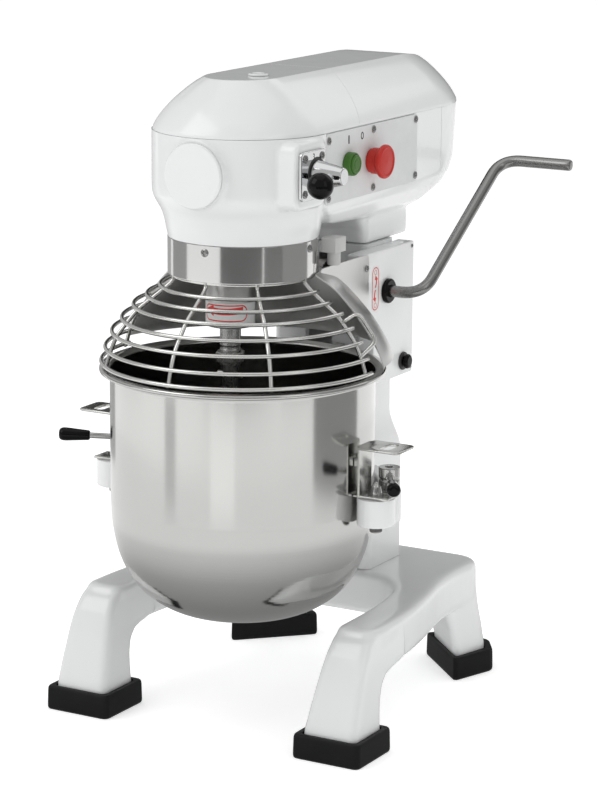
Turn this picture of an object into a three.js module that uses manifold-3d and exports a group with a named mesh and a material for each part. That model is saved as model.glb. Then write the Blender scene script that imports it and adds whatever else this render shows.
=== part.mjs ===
// Commercial stand mixer of the 20 litre class. Millimetres, +Z up.
// X = 0 is the plane of symmetry, the bowl axis is the line X = Y = 0, the floor is Z = 0
// and the front of the machine looks along -Y. The outer groups move that frame so the
// middle of the footprint on the floor is the origin.
import * as THREE from 'three';
import Module from 'manifold-3d';

const wasm = await Module();
wasm.setup();

// ---------------------------------------------------------------- driving dimensions
const BASE_TOP = 150;            // top of the cast base
const BASE_UNDER = 94;           // underside of the base between the legs
const FOOT_H = 30;               // rubber cap height
const FOOT_FLOOR = 14;           // rubber under the leg end
const GAP = 0.4;                 // running and fitting clearance

const BOWL_R = 160;              // outside of the bowl wall
const BOWL_T = 1.6;              // bowl sheet thickness
const BOWL_TOP = 443;            // top of the rolled rim, bowl raised
const BOWL_H = 309;              // bowl height
const RIM_OUT = 13;              // rolled rim, outwards from the bowl wall
const RIM_R = BOWL_R + RIM_OUT;  // outside of the rolled rim

const COLLAR_R = 90.5;           // polished collar under the gearbox
const COLLAR_Z0 = 556.6;
const COLLAR_Z1 = 600.6;
const HEAD_R = 109;              // round front of the gearbox housing
const HEAD_Z1 = 728;             // joint between housing and top cover
const HEAD_TOP = 790;            // top of the covers
const SEAM_Y = 88;               // foot of the slanted joint between front and rear top covers
const SEAM_LEAN = 0.6;           // how far that joint leans back per unit of height
const SIDE_X = 106;              // flat side of the head
const REAR_Y = 306;              // where the rear end starts to round
const REAR_DEEP = 118;           // depth of the rounded rear end

const COL_X = 66;                // half width of the column
const COL_Y0 = 186;              // front face of the column
const COL_Y1 = 262;              // back face of the column
const COVER_W = 21;              // width of the lift cover
const BOX_X = COL_X + COVER_W;   // outer face of the lift cover
const CRANK_Y = 203;             // crank axis
const CRANK_Z = 509;
const CRANK_ROD = 14.5;          // crank bar diameter
const CRANK_X = 137;             // plane of the crank arm
const CRANK_ARM = 256;           // axis to handle
const CRANK_ANGLE = 33.7;        // arm above the horizontal, pointing back
const CRANK_END = 236;           // end of the handle
const SECTOR_R = 34;             // pitch radius of the lift sector

const PIN_OUT = 24;              // locating pin, outwards from the bowl wall
const YOKE_X = BOWL_R + PIN_OUT; // locating pin, from the bowl axis
const POST_X = YOKE_X - 2;       // clamp pivot
const YOKE_Z0 = 266;
const YOKE_Z1 = 302.6;
const CLAMP_Y = 36;              // clamp pivot behind the pin
const LEVER_L = 92;              // clamp lever, pivot to grip end

const PLANET_E = 45;             // planet shaft offset from the bowl axis
const PLANET_TURN = -78.5;       // where the planet shaft stands, degrees about +Z
const WIRE = 2.5;                // guard wire radius
const SHEET = 1.5;               // shield sheet thickness

// guard rings as radius and height, smallest first
const spread = r => COLLAR_R + (r - 90.5) * (RIM_R - COLLAR_R) / 82.5;  // follows collar and rim
const RINGS = [[99, 541], [115, 529], [131, 517], [145, 501], [157, 485], [165, 466], [170, 449]]
  .map(([r, z]) => [spread(r), z]);
// outer face of the splash shield
const SHIELD = [[92.6, 560], [98, 556], [118, 543.5], [140, 521], [159, 497], [174, 472], [181, 455]]
  .map(([r, z]) => [COLLAR_R + 2.1 + (r - 92.6) * (RIM_R - COLLAR_R + 5.9) / 88.4, z]);

// ---------------------------------------------------------------- finishes
const finish = (color, roughness, metalness) =>
  new THREE.MeshStandardMaterial({ color: new THREE.Color(color), roughness, metalness });
const WHITE = finish('#e8e9e8', 0.28, 0);
const STEEL = finish('#c3c4c3', 0.25, 1);
const SATIN = finish('#8e8d8b', 0.32, 1);
const WIRES = finish('#c9c9c6', 0.22, 1);
const CHROME = finish('#d6d8d9', 0.08, 1);
const RUBBER = finish('#0e0e0f', 0.75, 0);
const BLACK = finish('#0b0b0c', 0.2, 0);
const PANEL = finish('#c9cbcb', 0.45, 0);
const GREEN = finish('#3f7c34', 0.35, 0);
const RED = finish('#c23a2c', 0.35, 0);
const GEAR = finish('#6f6d69', 0.4, 1);
const IRON = finish('#7b7d7e', 0.6, 1);
const DARKPL = finish('#222324', 0.5, 0);
const BRONZE = finish('#a5763a', 0.35, 1);

// ---------------------------------------------------------------- geometry helpers
function clean(g) {
  const h = g.clone();
  for (const name of Object.keys(h.attributes)) if (name !== 'position') h.deleteAttribute(name);
  h.clearGroups();
  const pos = h.attributes.position.array;
  const idx = h.index ? Array.from(h.index.array) : Array.from({ length: pos.length / 3 }, (_, i) => i);
  const key = new Map(), verts = [], map = [];
  for (let i = 0; i < pos.length / 3; i++) {
    const p = [pos[3 * i], pos[3 * i + 1], pos[3 * i + 2]];
    const k = p.map(v => Math.round(v * 2000)).join(',');
    if (!key.has(k)) { key.set(k, verts.length / 3); verts.push(...p); }
    map.push(key.get(k));
  }
  const tris = [];
  for (let i = 0; i < idx.length; i += 3) {
    const [a, b, c] = [map[idx[i]], map[idx[i + 1]], map[idx[i + 2]]];
    if (a !== b && b !== c && a !== c) tris.push(a, b, c);
  }
  return { verts, tris };
}
const solid = g => {
  if (!(g instanceof THREE.BufferGeometry)) return g;
  const { verts, tris } = clean(g);
  return new wasm.Manifold(new wasm.Mesh({
    numProp: 3, vertProperties: Float32Array.from(verts), triVerts: Uint32Array.from(tris) }));
};
const join = (...parts) => parts.map(solid).reduce((a, b) => a.add(b));
const cut = (a, ...parts) => parts.map(solid).reduce((m, b) => m.subtract(b), solid(a));
const common = (a, b) => solid(a).intersect(solid(b));
function geometry(m) {
  if (m instanceof THREE.BufferGeometry) {
    const { verts, tris } = clean(m);
    const g = new THREE.BufferGeometry();
    g.setAttribute('position', new THREE.Float32BufferAttribute(verts, 3));
    g.setIndex(tris);
    g.computeVertexNormals();
    return g;
  }
  const mesh = m.getMesh();
  const g = new THREE.BufferGeometry();
  const n = mesh.numProp, v = mesh.vertProperties, out = [];
  for (let i = 0; i < v.length / n; i++) out.push(v[i * n], v[i * n + 1], v[i * n + 2]);
  g.setAttribute('position', new THREE.Float32BufferAttribute(out, 3));
  g.setIndex(Array.from(mesh.triVerts));
  g.computeVertexNormals();
  return g;
}
const parts = [];
function part(name, shape, material) {
  const m = new THREE.Mesh(geometry(shape), material);
  m.name = name;
  parts.push(m);
  return m;
}
function box(x0, x1, y0, y1, z0, z1) {
  return new THREE.BoxGeometry(x1 - x0, y1 - y0, z1 - z0)
    .translate((x0 + x1) / 2, (y0 + y1) / 2, (z0 + z1) / 2);
}
function rod(r, a, b, seg = 20, r2 = r) {
  const A = new THREE.Vector3(...a), B = new THREE.Vector3(...b);
  const g = new THREE.CylinderGeometry(r2, r, A.distanceTo(B), seg);
  g.applyQuaternion(new THREE.Quaternion().setFromUnitVectors(
    new THREE.Vector3(0, 1, 0), B.clone().sub(A).normalize()));
  return g.translate((a[0] + b[0]) / 2, (a[1] + b[1]) / 2, (a[2] + b[2]) / 2);
}
// profile of [radius, height] turned about the vertical line through (x, y)
function turned(profile, seg = 40, x = 0, y = 0) {
  const pts = profile.map(([r, z]) => new THREE.Vector2(r, z));
  return new THREE.LatheGeometry(pts, seg).rotateX(Math.PI / 2).translate(x, y, 0);
}
const ring = (profile, seg = 32) => turned([...profile, profile[0]], seg);
function outline(pts) {
  const s = new THREE.Shape();
  pts.forEach(([x, y], i) => (i ? s.lineTo(x, y) : s.moveTo(x, y)));
  s.closePath();
  return s;
}
const slab = (pts, z0, z1) =>
  new THREE.ExtrudeGeometry(outline(pts), { depth: z1 - z0, bevelEnabled: false }).translate(0, 0, z0);
function softSlab(pts, z0, z1, bevel, steps = 2) {
  return new THREE.ExtrudeGeometry(outline(pts), {
    depth: z1 - z0 - 2 * bevel, bevelEnabled: true, bevelThickness: bevel, bevelSize: bevel,
    bevelOffset: -bevel, bevelSegments: steps }).translate(0, 0, z0 + bevel);
}
// outline in (Y, Z) given a thickness along X
const sideSlab = (pts, x0, x1) => slab(pts, x0, x1).applyMatrix4(
  new THREE.Matrix4().set(0, 0, 1, 0, 1, 0, 0, 0, 0, 1, 0, 0, 0, 0, 0, 1));
// outline in (X, Z) given a thickness along Y
const frontSlab = (pts, y0, y1) => slab(pts.map(([x, z]) => [x, -z]), y0, y1).rotateX(-Math.PI / 2);
function roundRect(cx, cy, w, h, r, n = 4) {
  const pts = [];
  const corners = [[1, 1], [-1, 1], [-1, -1], [1, -1]];
  corners.forEach(([sx, sy], k) => {
    for (let i = 0; i <= n; i++) {
      const a = (k + i / n) * Math.PI / 2;
      pts.push([cx + sx * (w / 2 - r) + r * Math.cos(a), cy + sy * (h / 2 - r) + r * Math.sin(a)]);
    }
  });
  return pts;
}
class Polyline extends THREE.Curve {
  constructor(list) { super(); this.list = list.map(p => new THREE.Vector3(...p)); }
  getPoint(t, target = new THREE.Vector3()) {
    const n = this.list.length - 1, s = Math.min(t * n, n - 1e-9), i = Math.floor(s);
    return target.copy(this.list[i]).lerp(this.list[Math.min(i + 1, n)], s - i);
  }
  getPointAt(t, target) { return this.getPoint(t, target); }
  getTangentAt(t, target = new THREE.Vector3()) {
    const n = this.list.length - 1, i = Math.round(t * n);
    const a = this.list[Math.max(i - 1, 0)], b = this.list[Math.min(i + 1, n)];
    return target.copy(b).sub(a).normalize();
  }
}
// round bar along a list of points
function bar(list, r, sides = 6) {
  const s = new THREE.Shape();
  for (let i = 0; i < sides; i++) {
    const a = (i + 0.5) * 2 * Math.PI / sides;
    (i ? s.lineTo : s.moveTo).call(s, r * Math.cos(a), r * Math.sin(a));
  }
  s.closePath();
  return new THREE.ExtrudeGeometry(s, { steps: list.length - 1, bevelEnabled: false, extrudePath: new Polyline(list) });
}
// corner of a bent bar replaced by an arc
function bent(list, radius, n = 6) {
  const out = [list[0]];
  for (let i = 1; i < list.length - 1; i++) {
    const P = new THREE.Vector3(...list[i]);
    const u = new THREE.Vector3(...list[i - 1]).sub(P).normalize();
    const v = new THREE.Vector3(...list[i + 1]).sub(P).normalize();
    const half = u.angleTo(v) / 2, d = radius / Math.tan(half);
    const C = P.clone().add(u.clone().add(v).normalize().multiplyScalar(radius / Math.sin(half)));
    const a = P.clone().addScaledVector(u, d).sub(C), b = P.clone().addScaledVector(v, d).sub(C);
    const w = a.angleTo(b);
    for (let k = 0; k <= n; k++) {
      const t = k / n;
      const q = a.clone().multiplyScalar(Math.sin((1 - t) * w) / Math.sin(w))
        .addScaledVector(b, Math.sin(t * w) / Math.sin(w)).add(C);
      out.push([q.x, q.y, q.z]);
    }
  }
  out.push(list[list.length - 1]);
  return out;
}
// closed surface through loops of equal length
function loft(given) {
  const turnedOver = THREE.ShapeUtils.area(given[0].map(p => new THREE.Vector2(p[0], p[1]))) < 0;
  const loops = turnedOver ? given.map(l => l.slice().reverse()) : given;
  const n = loops[0].length, verts = loops.flat(2), tris = [];
  for (let k = 0; k < loops.length - 1; k++) {
    for (let i = 0; i < n; i++) {
      const a = k * n + i, b = k * n + (i + 1) % n, c = a + n, d = b + n;
      tris.push(a, b, d, a, d, c);
    }
  }
  const cap = (loop, base, flip) => {
    const flat = loop.map(p => new THREE.Vector2(p[0], p[1]));
    for (const [a, b, c] of THREE.ShapeUtils.triangulateShape(flat, [])) {
      tris.push(base + a, base + (flip ? c : b), base + (flip ? b : c));
    }
  };
  cap(loops[0], 0, true);
  cap(loops[loops.length - 1], (loops.length - 1) * n, false);
  const g = new THREE.BufferGeometry();
  g.setAttribute('position', new THREE.Float32BufferAttribute(verts, 3));
  g.setIndex(tris);
  return g;
}
const mirrorX = pts => pts.map(([x, y, ...rest]) => [-x, y, ...rest]).reverse();
const polar = (r, deg) => [r * Math.sin(deg * Math.PI / 180), -r * Math.cos(deg * Math.PI / 180)];

// ---------------------------------------------------------------- base and feet
const frontFoot = [[139, -97], [212, -97], [212, -28], [139, -28]];
const rearFoot = [[163, 262], [178, 318], [160, 343], [112, 346], [92, 334]];
const rearTop = [[160, 225], [171, 262], [172, 304], [150, 322], [70, 310]];

const plateRight = [[0, 177], [86, 177], [108, 169], [126, 152], [138, 132], [147, 90], [151, 40],
  [152, -10], [152, -46], [206, -46], [206, 10], [201, 70], [190, 130], [176, 190], [171, 240],
  [173, 290], [168, 308], [150, 322], [0, 322]];
const plate = softSlab([...plateRight.slice(1, -1), ...mirrorX(plateRight.slice(1, -1))],
  BASE_UNDER, BASE_TOP, 5);
const legSide = [[-97, FOOT_FLOOR + GAP], [-97, 34], [-88, 62], [-76, 96], [-64, 122], [-52, 138],
  [-36, 147], [-18, BASE_TOP - 0.5], [44, BASE_TOP - 0.5], [44, 95], [4, 94], [-10, 90], [-20, 80],
  [-26, 62], [-28, 40], [-28, FOOT_FLOOR + GAP]];
const legFront = [[139, FOOT_FLOOR + GAP], [212, FOOT_FLOOR + GAP], [212, 34], [208, 110],
  [204, 140], [197, BASE_TOP - 0.5], [162, BASE_TOP - 0.5], [154, 142], [148, 100], [140, 34]];
const frontLeg = common(sideSlab(legSide, 120, 230), frontSlab(legFront, -120, 60));
const frontLegL = common(sideSlab(legSide, -230, -120),
  frontSlab(mirrorX(legFront), -120, 60));
const rearLoops = mirror => [[FOOT_FLOOR + GAP, 0], [32, 0], [62, 0.22], [92, 0.6], [118, 0.9], [140, 1]]
  .map(([z, t]) => {
    const loop = rearFoot.map(([x, y], i) => [
      x + (rearTop[i][0] - x) * t, y + (rearTop[i][1] - y) * t, z]);
    return mirror ? mirrorX(loop) : loop;
  });
let base = join(plate, frontLeg, frontLegL, loft(rearLoops(false)), loft(rearLoops(true)));
base = cut(base, box(-120, 120, 196, 300, BASE_UNDER - 1, BASE_TOP - 14),
  box(-40, 40, 206, 250, BASE_TOP - 20, BASE_TOP + 1));
part('base_casting', base, WHITE);

function grown(pts, d) {
  const cx = pts.reduce((s, p) => s + p[0], 0) / pts.length;
  const cy = pts.reduce((s, p) => s + p[1], 0) / pts.length;
  return pts.map(([x, y]) => {
    const l = Math.hypot(x - cx, y - cy);
    return [x + (x - cx) / l * d, y + (y - cy) / l * d];
  });
}
function foot(name, pts) {
  const outer = loft([[0, 9], [4, 12], [FOOT_H - 4, 11.5], [FOOT_H, 9]]
    .map(([z, d]) => grown(pts, d).map(p => [...p, z])));
  part(name, cut(outer, slab(grown(pts, 0.8), FOOT_FLOOR, FOOT_H + 1)), RUBBER);
}
foot('foot_front_right', frontFoot);
foot('foot_front_left', mirrorX(frontFoot));
foot('foot_rear_right', rearFoot);
foot('foot_rear_left', mirrorX(rearFoot));

// ---------------------------------------------------------------- column
const pedestal = loft([[BASE_TOP + GAP, COL_X + 9, COL_Y0, 277], [290, COL_X + 9, COL_Y0, 277], [322, COL_X + 6, COL_Y0, 270],
  [348, COL_X, COL_Y0, COL_Y1], [566, COL_X, COL_Y0, COL_Y1]].map(([z, x, y0, y1]) =>
  roundRect(0, (y0 + y1) / 2, 2 * x, y1 - y0, 10, 2).map(p => [...p, z])));
const column = cut(pedestal,
  box(16 - COL_X, COL_X - 16, 194.5, 250, BASE_TOP - 1, 552),
  box(-19, 19, 170, 200, BASE_TOP - 1, 552),
  rod(11, [COL_X - 26, CRANK_Y, CRANK_Z], [COL_X + 14, CRANK_Y, CRANK_Z]));
part('column', column, WHITE);
part('guide_rail_right', box(26, 38, COL_Y0 - 8, COL_Y0 - GAP, 156, 440), STEEL);
part('guide_rail_left', box(-38, -26, COL_Y0 - 8, COL_Y0 - GAP, 156, 440), STEEL);
part('column_rear_cover', softSlab(roundRect(0, 0, 84, 150, 6, 2), 0, 3, 1, 1)
  .rotateX(Math.PI / 2).rotateZ(Math.PI).translate(0, COL_Y1 + GAP, 430), WHITE);

// lift cover on the right of the column
const coverSide = [[170, 394], [274, 394], [274, 562], [138, 562], [138, 508], [156, 488], [168, 466], [170, 452]];
const cover = cut(sideSlab(coverSide, COL_X + GAP, BOX_X),
  sideSlab([[173, 397], [271, 397], [271, 559], [141, 559], [141, 509], [158, 490], [171, 468], [173, 453]], COL_X - 1, BOX_X - 2),
  rod(12.4, [COL_X + 4, CRANK_Y, CRANK_Z], [BOX_X + 13, CRANK_Y, CRANK_Z], 20),
  rod(6.4, [COL_X + 4, 247, 412], [BOX_X + 13, 247, 412], 16));
part('lift_cover', cover, WHITE);
part('crank_bush', cut(join(rod(12, [COL_X + 8, CRANK_Y, CRANK_Z], [BOX_X + GAP, CRANK_Y, CRANK_Z], 20),
  rod(15.5, [BOX_X + GAP, CRANK_Y, CRANK_Z], [BOX_X + 6, CRANK_Y, CRANK_Z], 20)),
  rod(CRANK_ROD / 2 + GAP, [COL_X, CRANK_Y, CRANK_Z], [BOX_X + 10, CRANK_Y, CRANK_Z], 20)), BLACK);
part('reset_button', join(rod(6, [BOX_X - 8, 247, 412], [BOX_X + 6, 247, 412], 14),
  rod(9.5, [BOX_X + 6, 247, 412], [BOX_X + 11, 247, 412], 14, 7.5)), BLACK);
part('reset_socket', cut(rod(11.5, [BOX_X + GAP, 247, 412], [BOX_X + 3, 247, 412], 16),
  rod(6.4, [BOX_X - 5, 247, 412], [BOX_X + 5, 247, 412], 14)), DARKPL);

// ---------------------------------------------------------------- lift: crank, sector, rack
const ca = Math.cos(CRANK_ANGLE * Math.PI / 180), sa = Math.sin(CRANK_ANGLE * Math.PI / 180);
const crankTop = [CRANK_X, CRANK_Y + CRANK_ARM * ca, CRANK_Z + CRANK_ARM * sa];
const crankPath = bent([[18, CRANK_Y, CRANK_Z], [CRANK_X, CRANK_Y, CRANK_Z], crankTop,
  [CRANK_END - 4, crankTop[1], crankTop[2]]], 24, 6);
part('crank_handle', join(bar(crankPath, CRANK_ROD / 2, 12),
  rod(CRANK_ROD / 2, [CRANK_END - 4.5, crankTop[1], crankTop[2]], [CRANK_END, crankTop[1], crankTop[2]], 12, 4)), SATIN);
const sectorPts = [[0, 0]];
for (let i = 0; i <= 36; i++) {
  const a = (-12 + 156 * i / 36) * Math.PI / 180, r = SECTOR_R - (i % 2 ? GAP : 2.6);
  sectorPts.push([r * Math.cos(a), r * Math.sin(a)]);
}
part('lift_sector', cut(join(sideSlab(sectorPts.map(([y, z]) => [y + CRANK_Y, z + CRANK_Z]), -6, 6),
  rod(13, [-9, CRANK_Y, CRANK_Z], [17.6, CRANK_Y, CRANK_Z], 20)),
  rod(CRANK_ROD / 2 + GAP, [17.5, CRANK_Y, CRANK_Z], [19, CRANK_Y, CRANK_Z], 12)), GEAR);
const rackY = CRANK_Y + SECTOR_R + GAP;
const rackPts = [[rackY + 10, 296], [rackY + 10, 548], [rackY + 2, 548]];
for (let z = 546, k = 0; z >= 424; z -= 2.2, k++) rackPts.push([rackY + (k % 2 ? 0 : 2), z]);
rackPts.push([rackY + 2, 422], [rackY + 2, 296]);
part('lift_rack', sideSlab(rackPts.reverse(), -6.5, 6.5), GEAR);

// ---------------------------------------------------------------- carriage
const arm = [];
for (let i = 0; i <= 16; i++) arm.push(polar(BOWL_R + 26, 90 + 11.25 * i));
for (let i = 16; i >= 0; i--) arm.push(polar(BOWL_R + 4.5, 90 + 11.25 * i));
let yoke = join(softSlab(arm, YOKE_Z0 + 3, YOKE_Z1 - 4, 3, 1),
  rod(23, [YOKE_X, 0, YOKE_Z0 + 3], [YOKE_X, 0, YOKE_Z1], 20),
  rod(23, [-YOKE_X, 0, YOKE_Z0 + 3], [-YOKE_X, 0, YOKE_Z1], 20),
  rod(15, [POST_X, CLAMP_Y, YOKE_Z0], [POST_X, CLAMP_Y, YOKE_Z1], 20),
  rod(15, [-POST_X, CLAMP_Y, YOKE_Z0], [-POST_X, CLAMP_Y, YOKE_Z1], 20),
  box(-44, 44, BOWL_R, COL_Y0 - 10, 238, 344),
  box(-22, 22, 170, COL_Y0 - GAP, 238, 344),
  box(-16, 16, 180, 247, 242, 294));
yoke = cut(yoke, rod(BOWL_R + 3.6, [0, 0, 200], [0, 0, 400], 48),
  box(25.4, 38.6, 177.4, 190, 200, 400), box(-38.6, -25.4, 177.4, 190, 200, 400),
  rod(7.4, [YOKE_X, 0, 250], [YOKE_X, 0, 310], 16), rod(7.4, [-YOKE_X, 0, 250], [-YOKE_X, 0, 310], 16),
  rod(5.4, [POST_X, CLAMP_Y, 250], [POST_X, CLAMP_Y, 310], 16), rod(5.4, [-POST_X, CLAMP_Y, 250], [-POST_X, CLAMP_Y, 310], 16));
part('bowl_yoke', yoke, WHITE);
for (const [side, s] of [['right', 1], ['left', -1]]) {
  part(`locating_pin_${side}`, join(turned([[0, 260], [7, 260], [7, 309], [5.5, 316], [2, 321], [0, 321]], 16, s * YOKE_X, 0),
    rod(10.5, [s * YOKE_X, 0, 260], [s * YOKE_X, 0, 268.4], 6)), CHROME);
}

// ---------------------------------------------------------------- bowl
const zb = BOWL_TOP - BOWL_H;
const round = (r, wall = 0) => BOWL_R * r / 160 - wall;  // radius of the rounded bottom
const bowlOuter = [[0, zb], [round(40), zb + 1.5], [round(78), zb + 8], [round(108), zb + 22], [round(132), zb + 44],
  [round(149), zb + 76], [round(157.5), zb + 112], [BOWL_R, zb + 145], [BOWL_R, BOWL_TOP - 8], [RIM_R - 3, BOWL_TOP - 7],
  [RIM_R, BOWL_TOP - 4], [RIM_R - 2, BOWL_TOP], [RIM_R - 8, BOWL_TOP]];
const bowlInner = [[BOWL_R - BOWL_T, BOWL_TOP - 4], [BOWL_R - BOWL_T, zb + 145],
  [round(157.5, BOWL_T), zb + 112.5], [round(149, BOWL_T), zb + 77], [round(132, BOWL_T), zb + 45.4],
  [round(108, BOWL_T), zb + 23.6], [round(78, 0.8), zb + 9.6], [round(40), zb + 3.2], [0, zb + BOWL_T]];
part('mixing_bowl', turned([...bowlOuter, ...bowlInner], 36), STEEL);
for (const [side, s] of [['right', 1], ['left', -1]]) {
  const x = (a, b) => (s > 0 ? [a, b] : [-b, -a]);
  const w = BOWL_R + GAP;
  const ear = cut(join(
    box(...x(w, w + 9), -14, 14, YOKE_Z1 + GAP, YOKE_Z1 + 3.2),
    box(...x(w + 6, YOKE_X + 22), -15, 15, YOKE_Z1 + GAP, YOKE_Z1 + 3.2),
    box(...x(w + 6, w + 9), -15, 15, YOKE_Z1 + GAP, 366),
    softSlab(roundRect(s * (YOKE_X + 12), 0, 56, 46, 6, 2), 363, 366, 0.8, 1),
    box(...x(w, w + 9), -12, 12, 340, 350)),
    rod(7.6, [s * YOKE_X, 0, 290], [s * YOKE_X, 0, 320], 16),
    slab(roundRect(s * (YOKE_X + 17), 0, 14, 30, 5, 2), 360, 370));
  part(`bowl_ear_${side}`, ear, STEEL);
  const turn = s > 0 ? -58.5 : -151.5;
  const dx = Math.cos(turn * Math.PI / 180), dy = Math.sin(turn * Math.PI / 180);
  const at = (t, z) => [s * POST_X + dx * t, CLAMP_Y + dy * t, z];
  part(`clamp_block_${side}`, cut(join(
    rod(5, [s * POST_X, CLAMP_Y, 262], [s * POST_X, CLAMP_Y, YOKE_Z1 + 2], 12),
    rod(13, [s * POST_X, CLAMP_Y, YOKE_Z1 + 2 * GAP], [s * POST_X, CLAMP_Y, 332], 20),
    rod(3.6, at(8, 322), at(53.5, 324), 10)),
    rod(4.5, [s * POST_X, CLAMP_Y, 312], [s * POST_X, CLAMP_Y, 340], 10)), CHROME);
  part(`lever_grip_${side}`, cut(loft([[0, 5.2], [1.5, 6], [30, 8.4], [36, 8], [39, 5]].map(([t, r]) => {
    const loop = [];
    for (let i = 0; i < 14; i++) {
      const a = 2 * Math.PI * i / 14;
      loop.push([r * Math.cos(a), r * Math.sin(a), t]);
    }
    return loop;
  })).applyQuaternion(new THREE.Quaternion().setFromUnitVectors(
    new THREE.Vector3(0, 0, 1), new THREE.Vector3(dx, dy, 2 / 45.5).normalize()))
    .translate(...at(LEVER_L - 39, 324)),
  rod(4, at(40, 323.4), at(54.2, 324.05), 10)), BLACK);
}

// ---------------------------------------------------------------- gearbox housing and covers
const headProfile = [[0, COLLAR_Z1 + GAP], [89, COLLAR_Z1 + GAP], [92, 606], [94, 620], [98, 633], [105, 644],
  [108, 652], [HEAD_R, 662], [HEAD_R, HEAD_Z1], [0, HEAD_Z1]];
const rearBody = loft([[576, 60, 206, 305, 12], [600, 63, 196, 308, 14], [612, 84, 60, 320, 30], [630, 100, 30, 372, 60],
  [644, 105, 10, 396, 80], [660, SIDE_X, 0, 412, 90], [HEAD_Z1, SIDE_X, 0, REAR_Y + REAR_DEEP, 100]]
  .map(([z, x, y0, y1, r]) => {
    const pts = [];
    const back = Math.min(r, x - 1);
    pts.push([x, y0], [x, y1 - r]);
    for (let i = 1; i < 8; i++) {
      const a = i / 8 * Math.PI / 2;
      pts.push([x - back * (1 - Math.cos(a)), y1 - r + r * Math.sin(a)]);
    }
    pts.push([x - back, y1], [back - x, y1]);
    for (let i = 7; i > 0; i--) {
      const a = i / 8 * Math.PI / 2;
      pts.push([-(x - back * (1 - Math.cos(a))), y1 - r + r * Math.sin(a)]);
    }
    pts.push([-x, y1 - r], [-x, y0]);
    return pts.map(p => [...p, z]);
  }));
const underRear = loft([[566 + GAP, 62, 190, 306, 10], [584, 62, 190, 308, 10], [600, 60, 176, 309, 10]]
  .map(([z, x, y0, y1, r]) => roundRect(0, (y0 + y1) / 2, 2 * x, y1 - y0, r, 2).map(p => [...p, z])));
let housing = join(turned(headProfile, 40), rearBody, underRear,
  softSlab(roundRect(0, 0, 80, 70, 12, 3), 0, 112, 4, 1).rotateY(Math.PI / 2).translate(0, -33.5, 685),
  rod(41, [0, -60, 685], [0, -112, 685], 36, 39));
housing = cut(housing,
  turned([[0, 612], [72, 612], [80, 650], [80, 740], [0, 740]], 24),
  box(-84, 84, 60, 300, 644, 740), box(-60, 60, 290, 374, 644, 740),
  rod(20, [0, 0, 560], [0, 0, 700], 24),
  rod(12, [60, 59, 687], [120, 59, 687], 20), rod(12, [60, 116, 684], [120, 116, 684], 20),
  box(SIDE_X - 0.8, 120, REAR_Y, REAR_Y + 1, 642, HEAD_Z1 + 1),
  box(-120, 0.8 - SIDE_X, REAR_Y, REAR_Y + 1, 642, HEAD_Z1 + 1),
  box(SIDE_X + 0.1, 120, 5.4, 237, 642.8, HEAD_Z1 + 1),
  rod(9, [100, -30, 686], [125, -30, 686], 14));
part('gearbox_housing', housing, WHITE);
part('attachment_hub_cap', join(rod(38.4, [0, -112 - GAP, 685], [0, -115, 685], 36),
  rod(35, [0, -115, 685], [0, -116.5, 685], 36, 33)), WHITE);

function domeLoop(z, half, frontR, y1, straight) {
  const pts = [];
  const n = 20;
  for (let i = 0; i <= n; i++) {
    const a = Math.PI + Math.PI * i / n;
    pts.push([half * Math.cos(a), frontR * Math.sin(a)]);
  }
  pts.push([half, y1], [-half, y1]);
  return pts.map(p => [...p, z]);
}
const seamAt = z => SEAM_Y + SEAM_LEAN * (z - HEAD_Z1);
// height, half width and front reach of the covers
const up = h => HEAD_Z1 + h * (HEAD_TOP - HEAD_Z1) / 62;
const DOME = [[HEAD_Z1 + GAP, 107, HEAD_R], [up(6), 105.5, 107], [up(18), 97.5, 99], [up(32), 85, 87],
  [up(46), 69, 72], [up(55), 57, 61], [HEAD_TOP - 1, 47, 53], [HEAD_TOP, 45, 51]];
const frontCover = loft(DOME.map(([z, half, f]) => domeLoop(z, half, f, seamAt(z) - 0.3)));
const DOME_IN = [[HEAD_Z1 - 1, 103, 105], [up(6), 101, 103], [up(18), 93, 95], [up(32), 81, 83], [up(46), 65, 68],
  [up(56), 49, 53]];
part('top_cover_front', cut(frontCover, loft(DOME_IN.map(([z, half, f]) => domeLoop(z, half, f, seamAt(z) + 20))),
  rod(9.2, [14, 10, up(42)], [14, 10, HEAD_TOP + 10], 20)), WHITE);
part('filler_plug', join(rod(8.6, [14, 10, HEAD_TOP - 8], [14, 10, HEAD_TOP + 1], 20),
  rod(12, [14, 10, HEAD_TOP + GAP], [14, 10, HEAD_TOP + 3], 20, 11)), WHITE);

// rear motor cover: the same arched section drawn along Y, closed by a rounded end
const archLoop = (table, k, place) => {
  const side = table.map(([z, half]) => [half * k, HEAD_Z1 + GAP + (z - HEAD_Z1 - GAP) * k]);
  return [...side, ...side.slice().reverse().map(([x, z]) => [-x, z])].map(([x, z]) => [x, place(z), z]);
};
const loftY = loops => loft(loops.map(l => l.map(([x, y, z]) => [x, -z, y]))).rotateX(-Math.PI / 2);
const rearSkin = (table, deep, lead) => {
  const loops = [archLoop(table, 1, z => seamAt(z) + lead), archLoop(table, 1, () => REAR_Y)];
  for (let i = 1; i <= 7; i++) {
    const a = i / 7.3 * Math.PI / 2;
    loops.push(archLoop(table, Math.cos(a) ** 0.72, () => REAR_Y + deep * Math.sin(a)));
  }
  return loftY(loops);
};
part('motor_cover', cut(rearSkin(DOME, REAR_DEEP, 0.3), rearSkin(DOME_IN, REAR_DEEP - 6, -20)), WHITE);

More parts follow.
